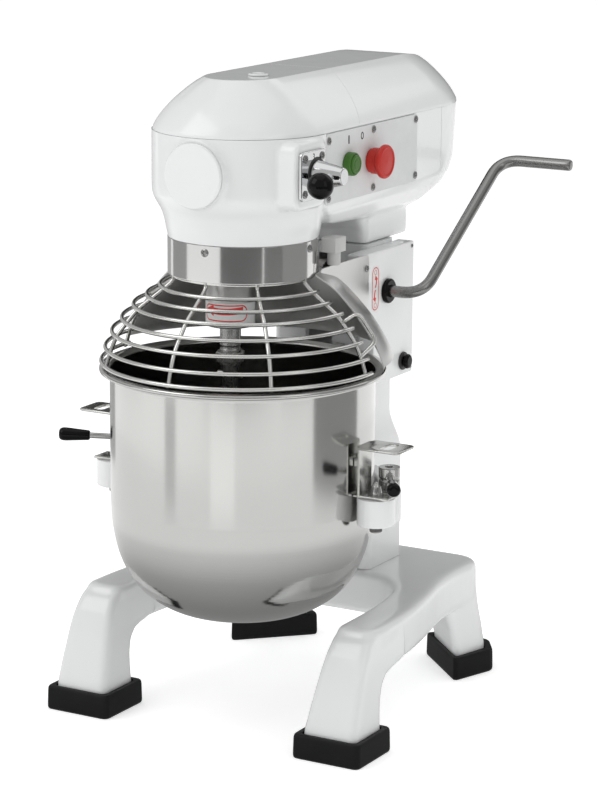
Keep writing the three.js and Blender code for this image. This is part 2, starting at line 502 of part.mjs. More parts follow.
// ---------------------------------------------------------------- controls
const panelPts = roundRect(0, 0, 230, 84, 5, 2);
let panel = softSlab(panelPts.map(([a, b]) => [b, a]), 0, 2.4, 0.6, 1).rotateY(Math.PI / 2)
  .translate(SIDE_X + GAP, 121, 685.4);
panel = cut(panel, rod(12, [100, 59, 687], [112, 59, 687], 20), rod(12, [100, 116, 684], [112, 116, 684], 20));
part('control_panel', panel, PANEL);
part('start_button', join(rod(9, [86, 59, 687], [104, 59, 687], 18), rod(11.4, [104, 59, 687], [121.5, 59, 687], 24)), GREEN);
part('start_bezel', cut(rod(14, [109.2, 59, 687], [119, 59, 687], 24), rod(11.8, [100, 59, 687], [125, 59, 687], 24)), GREEN);
part('stop_button', join(rod(11.4, [86, 116, 684], [120, 116, 684], 24),
  turned([[0, 0], [14, 0], [20.5, 6], [20.5, 9], [18, 12], [0, 13.5]], 28).rotateY(Math.PI / 2).translate(119, 116, 684)), RED);
part('stop_bezel', cut(rod(14.5, [109.2, 116, 684], [115, 116, 684], 24), rod(11.8, [100, 116, 684], [125, 116, 684], 24)), RED);
part('speed_plate', cut(softSlab(roundRect(0, 0, 57, 56, 5, 2), 0, 4, 1, 1).rotateY(Math.PI / 2)
  .translate(112 + GAP, -37, 686), rod(9, [110, -30, 686], [120, -30, 686], 14)), CHROME);
part('speed_lever', join(rod(8.4, [104, -30, 686], [118, -30, 686], 14),
  rod(17, [117, -30, 686], [128, -30, 686], 24, 15), rod(15, [128, -30, 686], [153, -30, 686], 24, 10),
  rod(5.5, [142, -30, 686], [144, -60, 682], 14)), CHROME);
part('speed_knob', cut(new THREE.SphereGeometry(15.5, 14, 10).translate(145, -72, 680),
  rod(6, [142, -30, 686], [144.1, -61, 681.8], 14)), BLACK);

// ---------------------------------------------------------------- collar, shield, guard
part('collar_band', ring([[COLLAR_R, COLLAR_Z0], [COLLAR_R, COLLAR_Z1], [88.5, COLLAR_Z1], [88.5, COLLAR_Z0]]), STEEL);
part('bearing_flange', ring([[88, 571], [88, COLLAR_Z1], [19, COLLAR_Z1], [19, 592], [70, 592], [70, 571]]), IRON);
part('ring_gear', ring([[69.6, 572], [69.6, 590], [62.6, 590], [62.6, 572]]), GEAR);

const shieldIn = SHIELD.map(([r, z]) => [r - SHEET, z - SHEET * 0.6]);
const shieldFull = turned([...SHIELD.slice().reverse(), ...shieldIn, SHIELD[SHIELD.length - 1]], 48);
const wedge = slab([[0, 0], polar(260, 98), polar(260, 130), polar(260, 180), polar(260, 230), polar(260, 262)], 430, 600);
const coneSolid = turned([[0, 600], [91.5, 600], ...SHIELD.map(([r, z]) => [r - 0.4, z - 0.3]), [181, 430], [0, 430]].reverse(), 48);
const wingSide = [[30, 563], [150, 563], [150, 500], [138, 486], [30, 486]];
const wingSideLeft = [[30, 563], [214, 563], [214, 520], [150, 500], [138, 486], [30, 486]];
const wings = join(sideSlab(wingSide, BOX_X + 1, BOX_X + 1 + SHEET + 0.4),
  sideSlab(wingSideLeft, -(BOX_X + 1 + SHEET + 0.4), -(BOX_X + 1)));
let shield = common(shieldFull, wedge);
shield = join(shield, cut(wings, coneSolid));
part('splash_shield', shield, STEEL);

const guardParts = [];
const arcPts = (r, z, a0, a1, n) => Array.from({ length: n + 1 }, (_, i) => [...polar(r, a0 + (a1 - a0) * i / n), z]);
RINGS.forEach(([r, z]) => guardParts.push(bar(arcPts(r, z, -94, 94, 15), WIRE, 5)));
const spine = [[85, 557], [85, 552], [88, 547], ...RINGS.map(([r, z]) => [r - 2.6, z - 1.2])];
for (const a of [-90, -45, 0, 42, 90]) guardParts.push(bar(spine.map(([r, z]) => [...polar(r, a), z]), WIRE, 5));
const handle = bent([[...polar(spread(136), 90), 508], [...polar(spread(154), 92), 522],
  [...polar(spread(175), 95), 488], [...polar(spread(161), 90), 470]], 8, 3);
guardParts.push(bar(handle, WIRE, 6));
guardParts.push(ring([[86.5, 553], [86.5, 566], [82, 566], [82, 553]]));
part('wire_guard', join(...guardParts), WIRES);
part('shield_bracket', softSlab(roundRect(0, 0, 30, 24, 4, 1), COL_X + GAP, BOX_X + 1 - GAP, 1, 1)
  .rotateY(-Math.PI / 2).translate(0, 201, 541), WHITE);
part('guard_switch', join(box(86, 106, 36, 62, 582, 600), rod(8, [96, 50, 566], [96, 50, 583], 16)), PANEL);

// ---------------------------------------------------------------- planetary drive
const pe = PLANET_TURN * Math.PI / 180;
const px = PLANET_E * Math.cos(pe), py = PLANET_E * Math.sin(pe);
const seat = [px, py];
part('planet_carrier', cut(join(turned([[0, 551], [77, 551], [77, 570], [0, 570]], 28),
  rod(18, [0, 0, 569], [0, 0, 600], 24),
  turned([[0, 500], [27, 500], [29.5, 503], [29.5, 552], [0, 552]], 22, ...seat)),
  turned([[0, 480], [20, 480], [20, 516], [13.4, 516], [13.4, 571], [0, 571]], 16, ...seat),
  rod(11.4, [0, 0, 585], [0, 0, 610], 20)), STEEL);
part('planet_seal', cut(rod(19.6, [...seat, 502], [...seat, 515.6], 24), rod(13, [...seat, 480], [...seat, 520], 24)), DARKPL);
part('beater_shaft', join(turned([[0, 424], [8, 424], [9, 427], [9, 452], [12.6, 452], [12.6, 571], [7, 571], [7, 586], [0, 586]], 16, ...seat),
  turned([[0, 456], [17, 456], [18, 458], [18, 466], [17, 468], [0, 468]], 8, ...seat),
  rod(3.4, [px - 17, py, 440], [px + 17, py, 440], 10)), CHROME);

// ---------------------------------------------------------------- drive in the head
const gearDisc = (r, teeth, z0, z1, x = 0, y = 0) => {
  const pts = [];
  for (let i = 0; i < teeth * 2; i++) {
    const a = Math.PI * i / teeth, q = i % 2 ? r - 2.4 : r;
    pts.push([x + q * Math.cos(a), y + q * Math.sin(a)]);
  }
  return slab(pts, z0, z1);
};
part('planet_pinion', cut(gearDisc(16.5, 12, 572, 584, ...seat), rod(7.4, [...seat, 560], [...seat, 600], 16)), GEAR);
part('main_shaft', join(rod(11, [0, 0, 590], [0, 0, 716], 20), rod(15, [0, 0, 700], [0, 0, 704], 20)), GEAR);
part('drive_gear', cut(gearDisc(66, 30, 680, 696), rod(11.4, [0, 0, 670], [0, 0, 700], 20)), BRONZE);
part('countershaft', join(rod(7, [0, 96, 671], [0, 96, 720], 16), gearDisc(27, 18, 680, 696, 0, 96)), GEAR);
part('motor_body', join(rod(55, [0, 196, 702], [0, 330, 702], 28), rod(30, [0, 180, 702], [0, 197, 702], 20)), IRON);
part('motor_fan_cowl', cut(rod(57, [0, 331, 702], [0, 372, 702], 28, 50),
  rod(52, [0, 330, 702], [0, 366, 702], 28, 47)), DARKPL);
part('motor_fan', join(rod(40, [0, 345, 702], [0, 353, 702], 14), rod(9, [0, 331, 702], [0, 356, 702], 14)), DARKPL);
part('motor_shaft', join(rod(8, [0, 126, 702], [0, 179.5, 702], 16), rod(14, [0, 126, 702], [0, 138, 702], 14, 18)), GEAR);
part('cable_gland', join(rod(9, [-22, COL_Y1 + 3 + 2 * GAP, 378], [-22, COL_Y1 + 9, 378], 6),
  rod(7, [-22, COL_Y1 + 8, 378], [-22, COL_Y1 + 18, 378], 14, 6)), DARKPL);

// ---------------------------------------------------------------- groups and origin
const owners = [
  ['frame_group', ['base_casting', 'foot_front_right', 'foot_front_left', 'foot_rear_right', 'foot_rear_left',
    'column', 'guide_rail_right', 'guide_rail_left', 'column_rear_cover', 'lift_cover', 'crank_bush', 'reset_socket', 'shield_bracket',
    'cable_gland']],
  ['head_group', ['gearbox_housing', 'attachment_hub_cap', 'top_cover_front', 'filler_plug', 'motor_cover',
    'control_panel', 'start_bezel', 'stop_bezel', 'speed_plate', 'collar_band', 'bearing_flange', 'ring_gear', 'splash_shield',
    'guard_switch', 'motor_body', 'motor_fan_cowl']],
];
const mixer = new THREE.Group();
mixer.name = 'stand_mixer';
for (const [name, nodes] of owners) {
  const g = new THREE.Group();
  g.name = name;
  for (const p of parts.filter(q => nodes.includes(q.name))) g.add(p);
  mixer.add(g);
}
const moving = new THREE.Group();
moving.name = 'moving_group';
for (const p of parts.filter(q => !q.parent)) moving.add(p);
mixer.add(moving);
const bounds = new THREE.Box3().setFromObject(mixer);
mixer.position.set(-(bounds.min.x + bounds.max.x) / 2, -(bounds.min.y + bounds.max.y) / 2, -bounds.min.z);
const root = new THREE.Group();
root.name = 'commercial_stand_mixer';
root.add(mixer);
root.updateMatrixWorld(true);

export default root;
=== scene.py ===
"""Commercial stand mixer: fine surfaces, finishes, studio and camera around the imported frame.

Shapes are worked out in the machine's own millimetres: X = 0 is the plane of symmetry, Y = 0 the
bowl axis, Z = 0 the floor and -Y the front. They are carried into the row frame, in metres, at the
moment a mesh is made.
"""
import logging
import math
from collections.abc import Callable, Iterable, Sequence
from dataclasses import dataclass
from enum import Enum

import bmesh
import bpy
import numpy as np
from mathutils import Matrix, Vector


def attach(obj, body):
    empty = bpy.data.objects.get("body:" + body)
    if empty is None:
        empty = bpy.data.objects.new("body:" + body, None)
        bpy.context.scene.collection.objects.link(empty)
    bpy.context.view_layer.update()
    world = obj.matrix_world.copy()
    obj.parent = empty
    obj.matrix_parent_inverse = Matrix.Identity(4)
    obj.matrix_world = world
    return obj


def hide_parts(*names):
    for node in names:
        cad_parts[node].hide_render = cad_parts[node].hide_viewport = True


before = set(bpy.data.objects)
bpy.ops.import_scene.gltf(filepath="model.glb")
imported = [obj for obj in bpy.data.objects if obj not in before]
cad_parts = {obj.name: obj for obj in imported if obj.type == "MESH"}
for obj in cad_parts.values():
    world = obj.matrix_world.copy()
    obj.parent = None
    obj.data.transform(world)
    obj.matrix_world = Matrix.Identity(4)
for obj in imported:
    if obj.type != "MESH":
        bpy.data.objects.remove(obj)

LOG = logging.getLogger("stand_mixer")
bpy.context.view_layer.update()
ORIGIN = np.array([14.600448608398438, -125.5, 0.0])  # the machine's origin in the row frame, mm
MILLI = 0.001
SEGMENTS = 128  # steps round a turned surface

Points = np.ndarray
Pair = tuple[float, float]

FRAME_BODY = "machine_frame"
CRANK_AXIS: Pair = (203.0, 509.0)  # (y, z) of the lift crank
CREASE = 32.0  # edges that turn by more degrees stay sharp


# ------------------------------------------------------------------------- surfaces
class Plane(Enum):
    """The plane that a flat outline is drawn in, as the columns of (first, second, through)."""

    TOP = (0, 1, 2)
    SIDE = (1, 2, 0)


class Axis(Enum):
    """The axis that a profile is turned about, as the columns of (across, up, along)."""

    X = (1, 2, 0)
    Y = (0, 2, 1)
    Z = (0, 1, 2)


@dataclass
class Skin:
    """A surface: points in machine millimetres and faces as arrays of equal-sided polygons."""

    points: Points
    faces: list[np.ndarray]

    def volume(self) -> float:
        """Signed volume: the sum over faces of the fan triangles' triple products, over six."""
        total = 0.0
        for block in self.faces:
            corner = self.points[block]
            for k in range(1, block.shape[1] - 1):
                total += np.einsum("ij,ij->", corner[:, 0], np.cross(corner[:, k], corner[:, k + 1]))
        return total / 6.0

    def outward(self) -> "Skin":
        """The same closed surface with its faces pointing out."""
        if self.volume() >= 0:
            return self
        return Skin(self.points, [block[:, ::-1] for block in self.faces])

    def moved(self, shift: Sequence[float]) -> "Skin":
        """The surface shifted by a vector in millimetres."""
        return Skin(self.points + np.asarray(shift, float), self.faces)

    def turned(self, normal: Sequence[float], at: Sequence[float]) -> "Skin":
        """The surface with its +Z laid along a normal and its origin at a point.

        Args:
            normal: The direction that +Z takes.
            at: Where the origin goes, in machine millimetres.

        Returns:
            The placed surface.
        """
        out = np.asarray(normal, float) / np.linalg.norm(normal)
        side = np.cross([0.0, 0.0, 1.0], out)
        side = np.array([1.0, 0.0, 0.0]) if np.linalg.norm(side) < 1e-6 else side / np.linalg.norm(side)
        up = np.cross(out, side)
        return Skin(self.points @ np.array([side, up, out]) + np.asarray(at, float), self.faces)

    def mirrored(self) -> "Skin":
        """The surface reflected in the plane of symmetry, with its faces turned back out."""
        return Skin(self.points * [-1.0, 1.0, 1.0], [block[:, ::-1] for block in self.faces])

    def welded(self, grain: float = 1e-4) -> "Skin":
        """The surface with equal points made one and the faces that collapse made smaller.

        Args:
            grain: Points closer than this, in millimetres, count as equal.

        Returns:
            The welded surface.
        """
        _, first, index = np.unique(
            np.round(self.points / grain).astype(np.int64), axis=0, return_index=True, return_inverse=True)
        index = index.ravel()
        blocks: list[np.ndarray] = []
        for block in self.faces:
            block = index[block]
            same = block == np.roll(block, -1, axis=1)
            whole = ~same.any(axis=1)
            blocks.append(block[whole])
            if block.shape[1] == 4:
                folded = block[same.sum(axis=1) == 1]
                keep = ~(folded == np.roll(folded, -1, axis=1))
                blocks.append(folded[keep].reshape(-1, 3))
        return Skin(self.points[first], [block for block in blocks if len(block)])


def joined(skins: Iterable[Skin]) -> Skin:
    """Several surfaces as one, each with its faces pointing out."""
    points: list[Points] = []
    faces: list[np.ndarray] = []
    base = 0
    for skin in skins:
        skin = skin.outward()
        points.append(skin.points)
        faces += [block + base for block in skin.faces]
        base += len(skin.points)
    return Skin(np.concatenate(points), faces)


def shell(loops: Points, wrap: bool = False, ends: bool = True) -> Skin:
    """Surface through a stack of closed loops.

    The point at (i, j) is loop i's station j; quads join (i, j), (i, j+1), (i+1, j+1), (i+1, j).

    Args:
        loops: Array of shape (loops, stations, 3).
        wrap: Whether the last loop joins the first, as on a ring.
        ends: Whether the first and last loops are closed with a flat face.

    Returns:
        The surface.
    """
    count, stations = loops.shape[:2]
    rows = np.arange(count if wrap else count - 1)[:, None]
    here = np.arange(stations)[None, :]
    there = (here + 1) % stations
    above = (rows + 1) % count
    quads = np.stack([rows * stations + here, rows * stations + there,
                      above * stations + there, above * stations + here], axis=-1).reshape(-1, 4)
    faces = [quads]
    if ends and not wrap:
        faces += [here[:, ::-1].copy(), here + (count - 1) * stations]
    return Skin(loops.reshape(-1, 3), faces)


def held(line: Points, closed: bool, hold: float = 0.5) -> Points:
    """Polyline with two more points on each long stretch, close to its ends, which keep it straight
    when the shading is smooth: A + (B - A) h / |B - A| and B - (B - A) h / |B - A|.

    Args:
        line: The points.
        closed: Whether the last point joins the first.
        hold: Distance of the added points from the ends.

    Returns:
        The line with the added points.
    """
    start, end = line, np.roll(line, -1, axis=0)
    long = np.linalg.norm(end - start, axis=1, keepdims=True)
    step = (end - start) * hold / np.maximum(long, 1e-9)
    full = np.stack([start, start + step, end - step], axis=1).reshape(-1, line.shape[1])
    needed = long[:, 0] > 5 * hold
    if not closed:
        needed[-1] = False
    keep = np.stack([np.ones(len(line), bool), needed, needed], axis=1).ravel()
    return full[keep]


def spun(profile: Points, axis: Axis = Axis.Z, centre: Pair = (0.0, 0.0),
         segments: int = SEGMENTS, closed: bool = False) -> Skin:
    """Surface of revolution: across = r cos t, up = r sin t, along = the profile's second number.

    Args:
        profile: Stations of (radius, place along the axis).
        axis: The axis that the profile turns about.
        centre: Where the axis passes, in the two other coordinates.
        segments: Steps round the turn.
        closed: Whether the profile closes on itself, as on a ring.

    Returns:
        The closed surface.
    """
    profile = held(np.asarray(profile, float), closed)
    turn = np.arange(segments) * 2 * np.pi / segments
    loops = np.empty((len(profile), segments, 3))
    across, up, along = axis.value
    loops[..., across] = centre[0] + profile[:, :1] * np.cos(turn)
    loops[..., up] = centre[1] + profile[:, :1] * np.sin(turn)
    loops[..., along] = profile[:, 1:]
    return shell(loops, wrap=closed, ends=not closed).welded()


def rounded(corners: Points, radius: float, steps: int = 6, closed: bool = False) -> Points:
    """Polyline with each corner made a parabola between two points at a set distance from it.

    On a corner P with cuts A and B the curve is (1-t)^2 A + 2t(1-t) P + t^2 B.

    Args:
        corners: The corners, of any dimension.
        radius: Distance from corner to cut, at most 0.49 of the shorter edge beside it.
        steps: Points on each corner.
        closed: Whether the last corner joins the first.

    Returns:
        The points of the rounded line.
    """
    corners = np.asarray(corners, float)
    before = np.roll(corners, 1, axis=0) - corners
    after = np.roll(corners, -1, axis=0) - corners
    long_before = np.linalg.norm(before, axis=1, keepdims=True)
    long_after = np.linalg.norm(after, axis=1, keepdims=True)
    reach = np.minimum(radius, 0.49 * np.minimum(long_before, long_after))
    start = corners + before / long_before * reach
    end = corners + after / long_after * reach
    t = np.linspace(0, 1, steps)[None, :, None]
    arcs = (1 - t) ** 2 * start[:, None] + 2 * t * (1 - t) * corners[:, None] + t ** 2 * end[:, None]
    if closed:
        return arcs.reshape(-1, corners.shape[1])
    inner = arcs[1:-1].reshape(-1, corners.shape[1])
    return np.concatenate([corners[:1], inner, corners[-1:]])


def spline(stations: Points, count: int) -> Points:
    """Catmull-Rom curve through stations: on each span a cubic whose end slopes are half the chord
    between the neighbours.

    Args:
        stations: Points to pass through, of any dimension.
        count: Number of points on the whole curve.

    Returns:
        The points of the curve.
    """
    stations = np.asarray(stations, float)
    padded = np.concatenate([[2 * stations[0] - stations[1]], stations, [2 * stations[-1] - stations[-2]]])
    place = np.linspace(0, len(stations) - 1, count)
    span = np.minimum(place.astype(int), len(stations) - 2)
    t = (place - span)[:, None]
    a, b, c, d = (padded[span + k] for k in range(4))
    return 0.5 * (2 * b + (c - a) * t + (2 * a - 5 * b + 4 * c - d) * t ** 2
                  + (3 * b - a - 3 * c + d) * t ** 3)


def densify(outline: Points, step: float) -> Points:
    """Closed outline with points no further apart than a step, by even division of its length."""
    ahead = np.concatenate([outline, outline[:1]])
    run = np.concatenate([[0], np.cumsum(np.linalg.norm(np.diff(ahead, axis=0), axis=1))])
    place = np.linspace(0, run[-1], int(run[-1] / step) + 1)[:-1]
    return np.stack([np.interp(place, run, ahead[:, k]) for k in range(outline.shape[1])], axis=1)


def normals(curve: Points) -> Points:
    """Unit normals of a plane curve: its unit slope (a, b) turned to (-b, a)."""
    slope = np.gradient(curve, axis=0)
    slope /= np.linalg.norm(slope, axis=1, keepdims=True)
    return np.stack([-slope[:, 1], slope[:, 0]], axis=1)


def area(outline: Points) -> float:
    """Signed area of a closed outline, positive when it runs anticlockwise."""
    ahead = np.roll(outline, -1, axis=0)
    return 0.5 * float(np.sum(outline[:, 0] * ahead[:, 1] - ahead[:, 0] * outline[:, 1]))


def inset(outline: Points, distance: float) -> Points:
    """Closed outline moved inwards: each point goes back along the mean of its two edge normals,
    over one plus their product."""
    if area(outline) < 0:
        outline = outline[::-1]
    edge = np.roll(outline, -1, axis=0) - outline
    edge /= np.linalg.norm(edge, axis=1, keepdims=True)
    normal = np.stack([edge[:, 1], -edge[:, 0]], axis=1)
    back = np.roll(normal, 1, axis=0)
    mitre = (normal + back) / (1 + np.sum(normal * back, axis=1, keepdims=True))
    return outline - distance * mitre


def plate(outline: Points, low: float, high: float, edge: float = 0.8,
          plane: Plane = Plane.TOP, steps: int = 5) -> Skin:
    """Flat plate with quarter-round edges: at angle t the outline is inset by e(1 - sin t) and
    stands e(1 - cos t) in from the face; one more loop on each face keeps it flat.

    Args:
        outline: Closed outline in the plane's two coordinates.
        low: Lower face along the third coordinate.
        high: Upper face along it.
        edge: Radius of the edges, zero for sharp ones.
        plane: The plane of the outline.
        steps: Loops on each edge.

    Returns:
        The closed surface.
    """
    outline = outline if area(outline) > 0 else outline[::-1]
    t = np.linspace(0, np.pi / 2, steps) if edge > 0 else np.array([np.pi / 2])
    hold = np.array([edge * 1.3] if edge > 0 else [])
    sunk = np.concatenate([hold, edge * (1 - np.sin(t)), edge * (1 - np.sin(t[::-1])), hold])
    through = np.concatenate([hold * 0 + low, low + edge * (1 - np.cos(t)),
                              high - edge * (1 - np.cos(t[::-1])), hold * 0 + high])
    first, second, third = plane.value
    loops = np.empty((len(sunk), len(outline), 3))
    for k, depth in enumerate(sunk):
        ring = inset(outline, depth)
        loops[k, :, first], loops[k, :, second], loops[k, :, third] = ring[:, 0], ring[:, 1], through[k]
    return shell(loops).outward()


def round_rect(centre: Pair, size: Pair, radius: float, steps: int = 7) -> Points:
    """Rectangle with quarter-circle corners, anticlockwise."""
    quarter = np.linspace(0, np.pi / 2, steps)
    turn = (np.arange(4)[:, None] * np.pi / 2 + quarter).ravel()
    sign = np.repeat([[1, 1], [-1, 1], [-1, -1], [1, -1]], steps, axis=0)
    half = np.asarray(size) / 2 - radius
    return np.asarray(centre) + sign * half + radius * np.stack([np.cos(turn), np.sin(turn)], axis=1)


def block(low: Sequence[float], high: Sequence[float], edge: float = 0.0) -> Skin:
    """Box between two corners, with rounded edges where an edge radius is given."""
    middle = ((low[0] + high[0]) / 2, (low[1] + high[1]) / 2)
    size = (high[0] - low[0], high[1] - low[1])
    if edge > 0:
        return plate(round_rect(middle, size, edge), low[2], high[2], edge)
    corners = np.array([[low[0], low[1]], [high[0], low[1]], [high[0], high[1]], [low[0], high[1]]], float)
    return plate(corners, low[2], high[2], 0.0)


def rod(radius: float, start: Sequence[float], end: Sequence[float], segments: int = 48,
        edge: float = 0.0) -> Skin:
    """Round bar between two points, with rounded ends where an edge radius is given."""
    start, end = np.asarray(start, float), np.asarray(end, float)
    long = float(np.linalg.norm(end - start))
    profile = np.array([[0, 0], [radius, 0], [radius, long], [0, long]], float)
    if edge > 0:
        profile = rounded(profile, edge * 1.2, 6)
    return spun(profile, segments=segments).turned(end - start, start)


def swept(path: Points, radius: float | np.ndarray, sides: int) -> Skin:
    """Round bar along a path: each station's circle stands square to the path, and its frame is
    carried from the last one by the smallest turn.

    Args:
        path: Stations along the middle of the bar.
        radius: One radius, or one for each station.
        sides: Steps round the bar.

    Returns:
        The closed surface.
    """
    path = np.asarray(path, float)
    ahead = np.gradient(path, axis=0)
    ahead /= np.linalg.norm(ahead, axis=1, keepdims=True)
    start = np.array([0.0, 0.0, 1.0]) if abs(ahead[0, 2]) < 0.9 else np.array([1.0, 0.0, 0.0])
    side = np.empty_like(path)
    side[0] = start
    for k in range(len(path)):
        side[k] = side[max(k - 1, 0)] - ahead[k] * (ahead[k] @ side[max(k - 1, 0)])
        side[k] /= np.linalg.norm(side[k])
    other = np.cross(ahead, side)
    turn = np.arange(sides) * 2 * np.pi / sides
    reach = np.broadcast_to(np.asarray(radius, float), (len(path),))[:, None, None]
    round_it = np.cos(turn)[:, None] * side[:, None] + np.sin(turn)[:, None] * other[:, None]
    return shell(path[:, None] + reach * round_it)


def polar(radius: float | np.ndarray, degrees: float | np.ndarray) -> Points:
    """Point of the plan at a radius and an angle from -Y towards +X."""
    angle = np.radians(degrees)
    return np.stack(np.broadcast_arrays(radius * np.sin(angle), -radius * np.cos(angle)), axis=-1)


def arc(radius: float, height: float, first: float, last: float, steps: int) -> Points:
    """Level arc about the bowl axis between two angles."""
    plan = polar(radius, np.linspace(first, last, steps))
    return np.concatenate([plan, np.full((steps, 1), height)], axis=1)


def bend_round(centre: Pair, radius: float, facing: float) -> Callable[[Points], Points]:
    """Map that lays flat (u, v, proud) on an upright cylinder: the angle is facing plus u over the
    radius, the height is v, and proud adds to the radius."""
    def lay(flat: Points) -> Points:
        """Lays points of (u, v, proud) on the cylinder."""
        plan = polar(radius + flat[..., 2], facing + np.degrees(flat[..., 0] / radius))
        return np.concatenate([plan + np.asarray(centre), flat[..., 1:2]], axis=-1)
    return lay


def on_side(face: float) -> Callable[[Points], Points]:
    """Map that lays flat (y, z, proud) on a face square to X."""
    def lay(flat: Points) -> Points:
        """Lays points of (y, z, proud) on the face."""
        return np.stack([face + flat[..., 2], flat[..., 0], flat[..., 1]], axis=-1)
    return lay


def ribbon(stations: Points, low: Points, high: Points, lay: Callable[[Points], Points],
           proud: float = 0.15, rows: int = 3, under: float = 0.05) -> Skin:
    """Thin printed shape between a lower and an upper edge over the same stations.

    The flat point at (s, t) is (station s, low + t (high - low)), and the closed surface runs over
    the top at the proud height and back under it.

    Args:
        stations: Places along the shape.
        low: Lower edge at each station.
        high: Upper edge at each station.
        lay: Map onto the carrying surface.
        proud: How far the top stands off that surface.
        rows: Points across the shape.
        under: How far the underside sinks into that surface.

    Returns:
        The closed surface.
    """
    t = np.linspace(0, 1, rows)
    across = np.concatenate([t, t[::-1]])
    lift = np.concatenate([np.full(rows, proud), np.full(rows, -under)])
    loops = np.empty((len(stations), 2 * rows, 3))
    loops[..., 0] = np.asarray(stations)[:, None]
    loops[..., 1] = np.asarray(low)[:, None] + across * (np.asarray(high) - np.asarray(low))[:, None]
    loops[..., 2] = lift
    return shell(lay(loops)).welded()


def stroke(outline: Points, width: float, lay: Callable[[Points], Points], proud: float = 0.18) -> Skin:
    """Printed line round a closed outline: four loops, outer and inner edge at two heights."""
    rings = []
    under = -0.05
    for depth, lift in ((0.0, under), (0.0, proud), (width, proud), (width, under)):
        ring = inset(outline, depth)
        rings.append(np.concatenate([ring, np.full((len(ring), 1), lift)], axis=1))
    return shell(lay(np.array(rings)), wrap=True)


def screw(radius: float = 4.2, height: float = 2.4, segments: int = 48, rings: int = 16) -> Skin:
    """Pan head with a cross recess, standing on Z = 0.

    The height at (x, y) is h sqrt(1 - (0.9 r / R)^2) less the recess, whose depth falls off across
    a short ramp at the edges of two crossed slots.

    Args:
        radius: Head radius.
        height: Head height.
        segments: Steps round the head.
        rings: Steps from the middle to the rim.

    Returns:
        The closed surface.
    """
    reach = np.linspace(0, 1, rings)[:, None] * radius
    turn = np.arange(segments)[None, :] * 2 * np.pi / segments
    x, y = reach * np.cos(turn), reach * np.sin(turn)
    width, long, ramp = 0.16 * radius, 0.58 * radius, 0.1 * radius

    def slot(a: Points, b: Points) -> Points:
        """How far a point is inside one slot, from 0 to 1."""
        return np.clip((width - abs(a)) / ramp + 0.5, 0, 1) * np.clip((long - abs(b)) / ramp + 0.5, 0, 1)

    top = height * np.sqrt(1 - (0.9 * reach / radius) ** 2) - 0.62 * height * np.maximum(slot(x, y), slot(y, x))
    loops = np.stack([x, y, np.broadcast_to(top, x.shape)], axis=-1)
    foot = loops[-1:] * [1, 1, 0] + [0, 0, -0.4]
    return shell(np.concatenate([loops, foot])).welded()


# ------------------------------------------------------------------------- mesh work
def to_mesh(name: str, skin: Skin) -> bpy.types.Mesh:
    """Blender mesh of a surface, in the row frame, in metres."""
    mesh = bpy.data.meshes.new(name)
    corners = np.concatenate([block.ravel() for block in skin.faces]).astype(np.int32)
    sizes = np.concatenate([np.full(len(block), block.shape[1]) for block in skin.faces])
    starts = np.concatenate([[0], np.cumsum(sizes)[:-1]]).astype(np.int32)
    mesh.vertices.add(len(skin.points))
    mesh.vertices.foreach_set("co", ((skin.points + ORIGIN) * MILLI).astype(np.float32).ravel())
    mesh.loops.add(len(corners))
    mesh.loops.foreach_set("vertex_index", corners)
    mesh.polygons.add(len(sizes))
    mesh.polygons.foreach_set("loop_start", starts)
    mesh.update(calc_edges=True)
    mesh.validate()
    return mesh


def to_object(name: str, mesh: bpy.types.Mesh) -> bpy.types.Object:
    """Object that shows a mesh, at the origin."""
    made = bpy.data.objects.new(name, mesh)
    bpy.context.scene.collection.objects.link(made)
    return made


def solid(name: str, skin: Skin) -> bpy.types.Object:
    """Object that shows a surface."""
    return to_object(name, to_mesh(name, skin))


def settle(item: bpy.types.Object) -> bpy.types.Object:
    """Gives an object the mesh that its modifiers make, and takes the modifiers off."""
    bpy.context.view_layer.update()
    graph = bpy.context.evaluated_depsgraph_get()
    made = bpy.data.meshes.new_from_object(item.evaluated_get(graph), depsgraph=graph)
    item.modifiers.clear()
    item.data = made
    return item


class Cut(Enum):
    """What a tool does to the object it meets."""

    AWAY = "DIFFERENCE"
    TOGETHER = "UNION"


def combine(item: bpy.types.Object, tool: bpy.types.Object, cut: Cut) -> bpy.types.Object:
    """Cuts a tool out of an object, or joins it on, and takes the tool away.

    Args:
        item: The object that changes.
        tool: The tool, a closed surface.
        cut: Which of the two is done.

    Returns:
        The changed object.
    """
    change = item.modifiers.new("combine", "BOOLEAN")
    change.object, change.operation, change.solver = tool, cut.value, "MANIFOLD"
    settle(item)
    bpy.data.objects.remove(tool)
    return item


def carve(item: bpy.types.Object, *tools: Skin) -> bpy.types.Object:
    """Cuts surfaces out of an object, one after another."""
    for skin in tools:
        combine(item, solid("tool", skin.outward()), Cut.AWAY)
    return item


def fused(name: str, first: Skin, *others: Skin) -> bpy.types.Object:
    """Object of several overlapping surfaces joined into one body."""
    item = solid(name, first.outward())
    for skin in others:
        combine(item, solid("tool", skin.outward()), Cut.TOGETHER)
    return item


def cast(name: str, skins: Iterable[Skin], voxel: float, rounds: int) -> bpy.types.Object:
    """Casting: overlapping surfaces melted into one on a voxel grid, then relaxed so that every
    inner corner gets a fillet and every edge a radius.

    Args:
        name: Object name.
        skins: Closed surfaces that overlap.
        voxel: Grid size in millimetres.
        rounds: Smoothing passes.

    Returns:
        The object.
    """
    item = solid(name, joined(skins))
    melt = item.modifiers.new("melt", "REMESH")
    melt.mode, melt.voxel_size = "VOXEL", voxel * MILLI
    relax = item.modifiers.new("relax", "SMOOTH")
    relax.factor, relax.iterations = 0.5, rounds
    return settle(item)


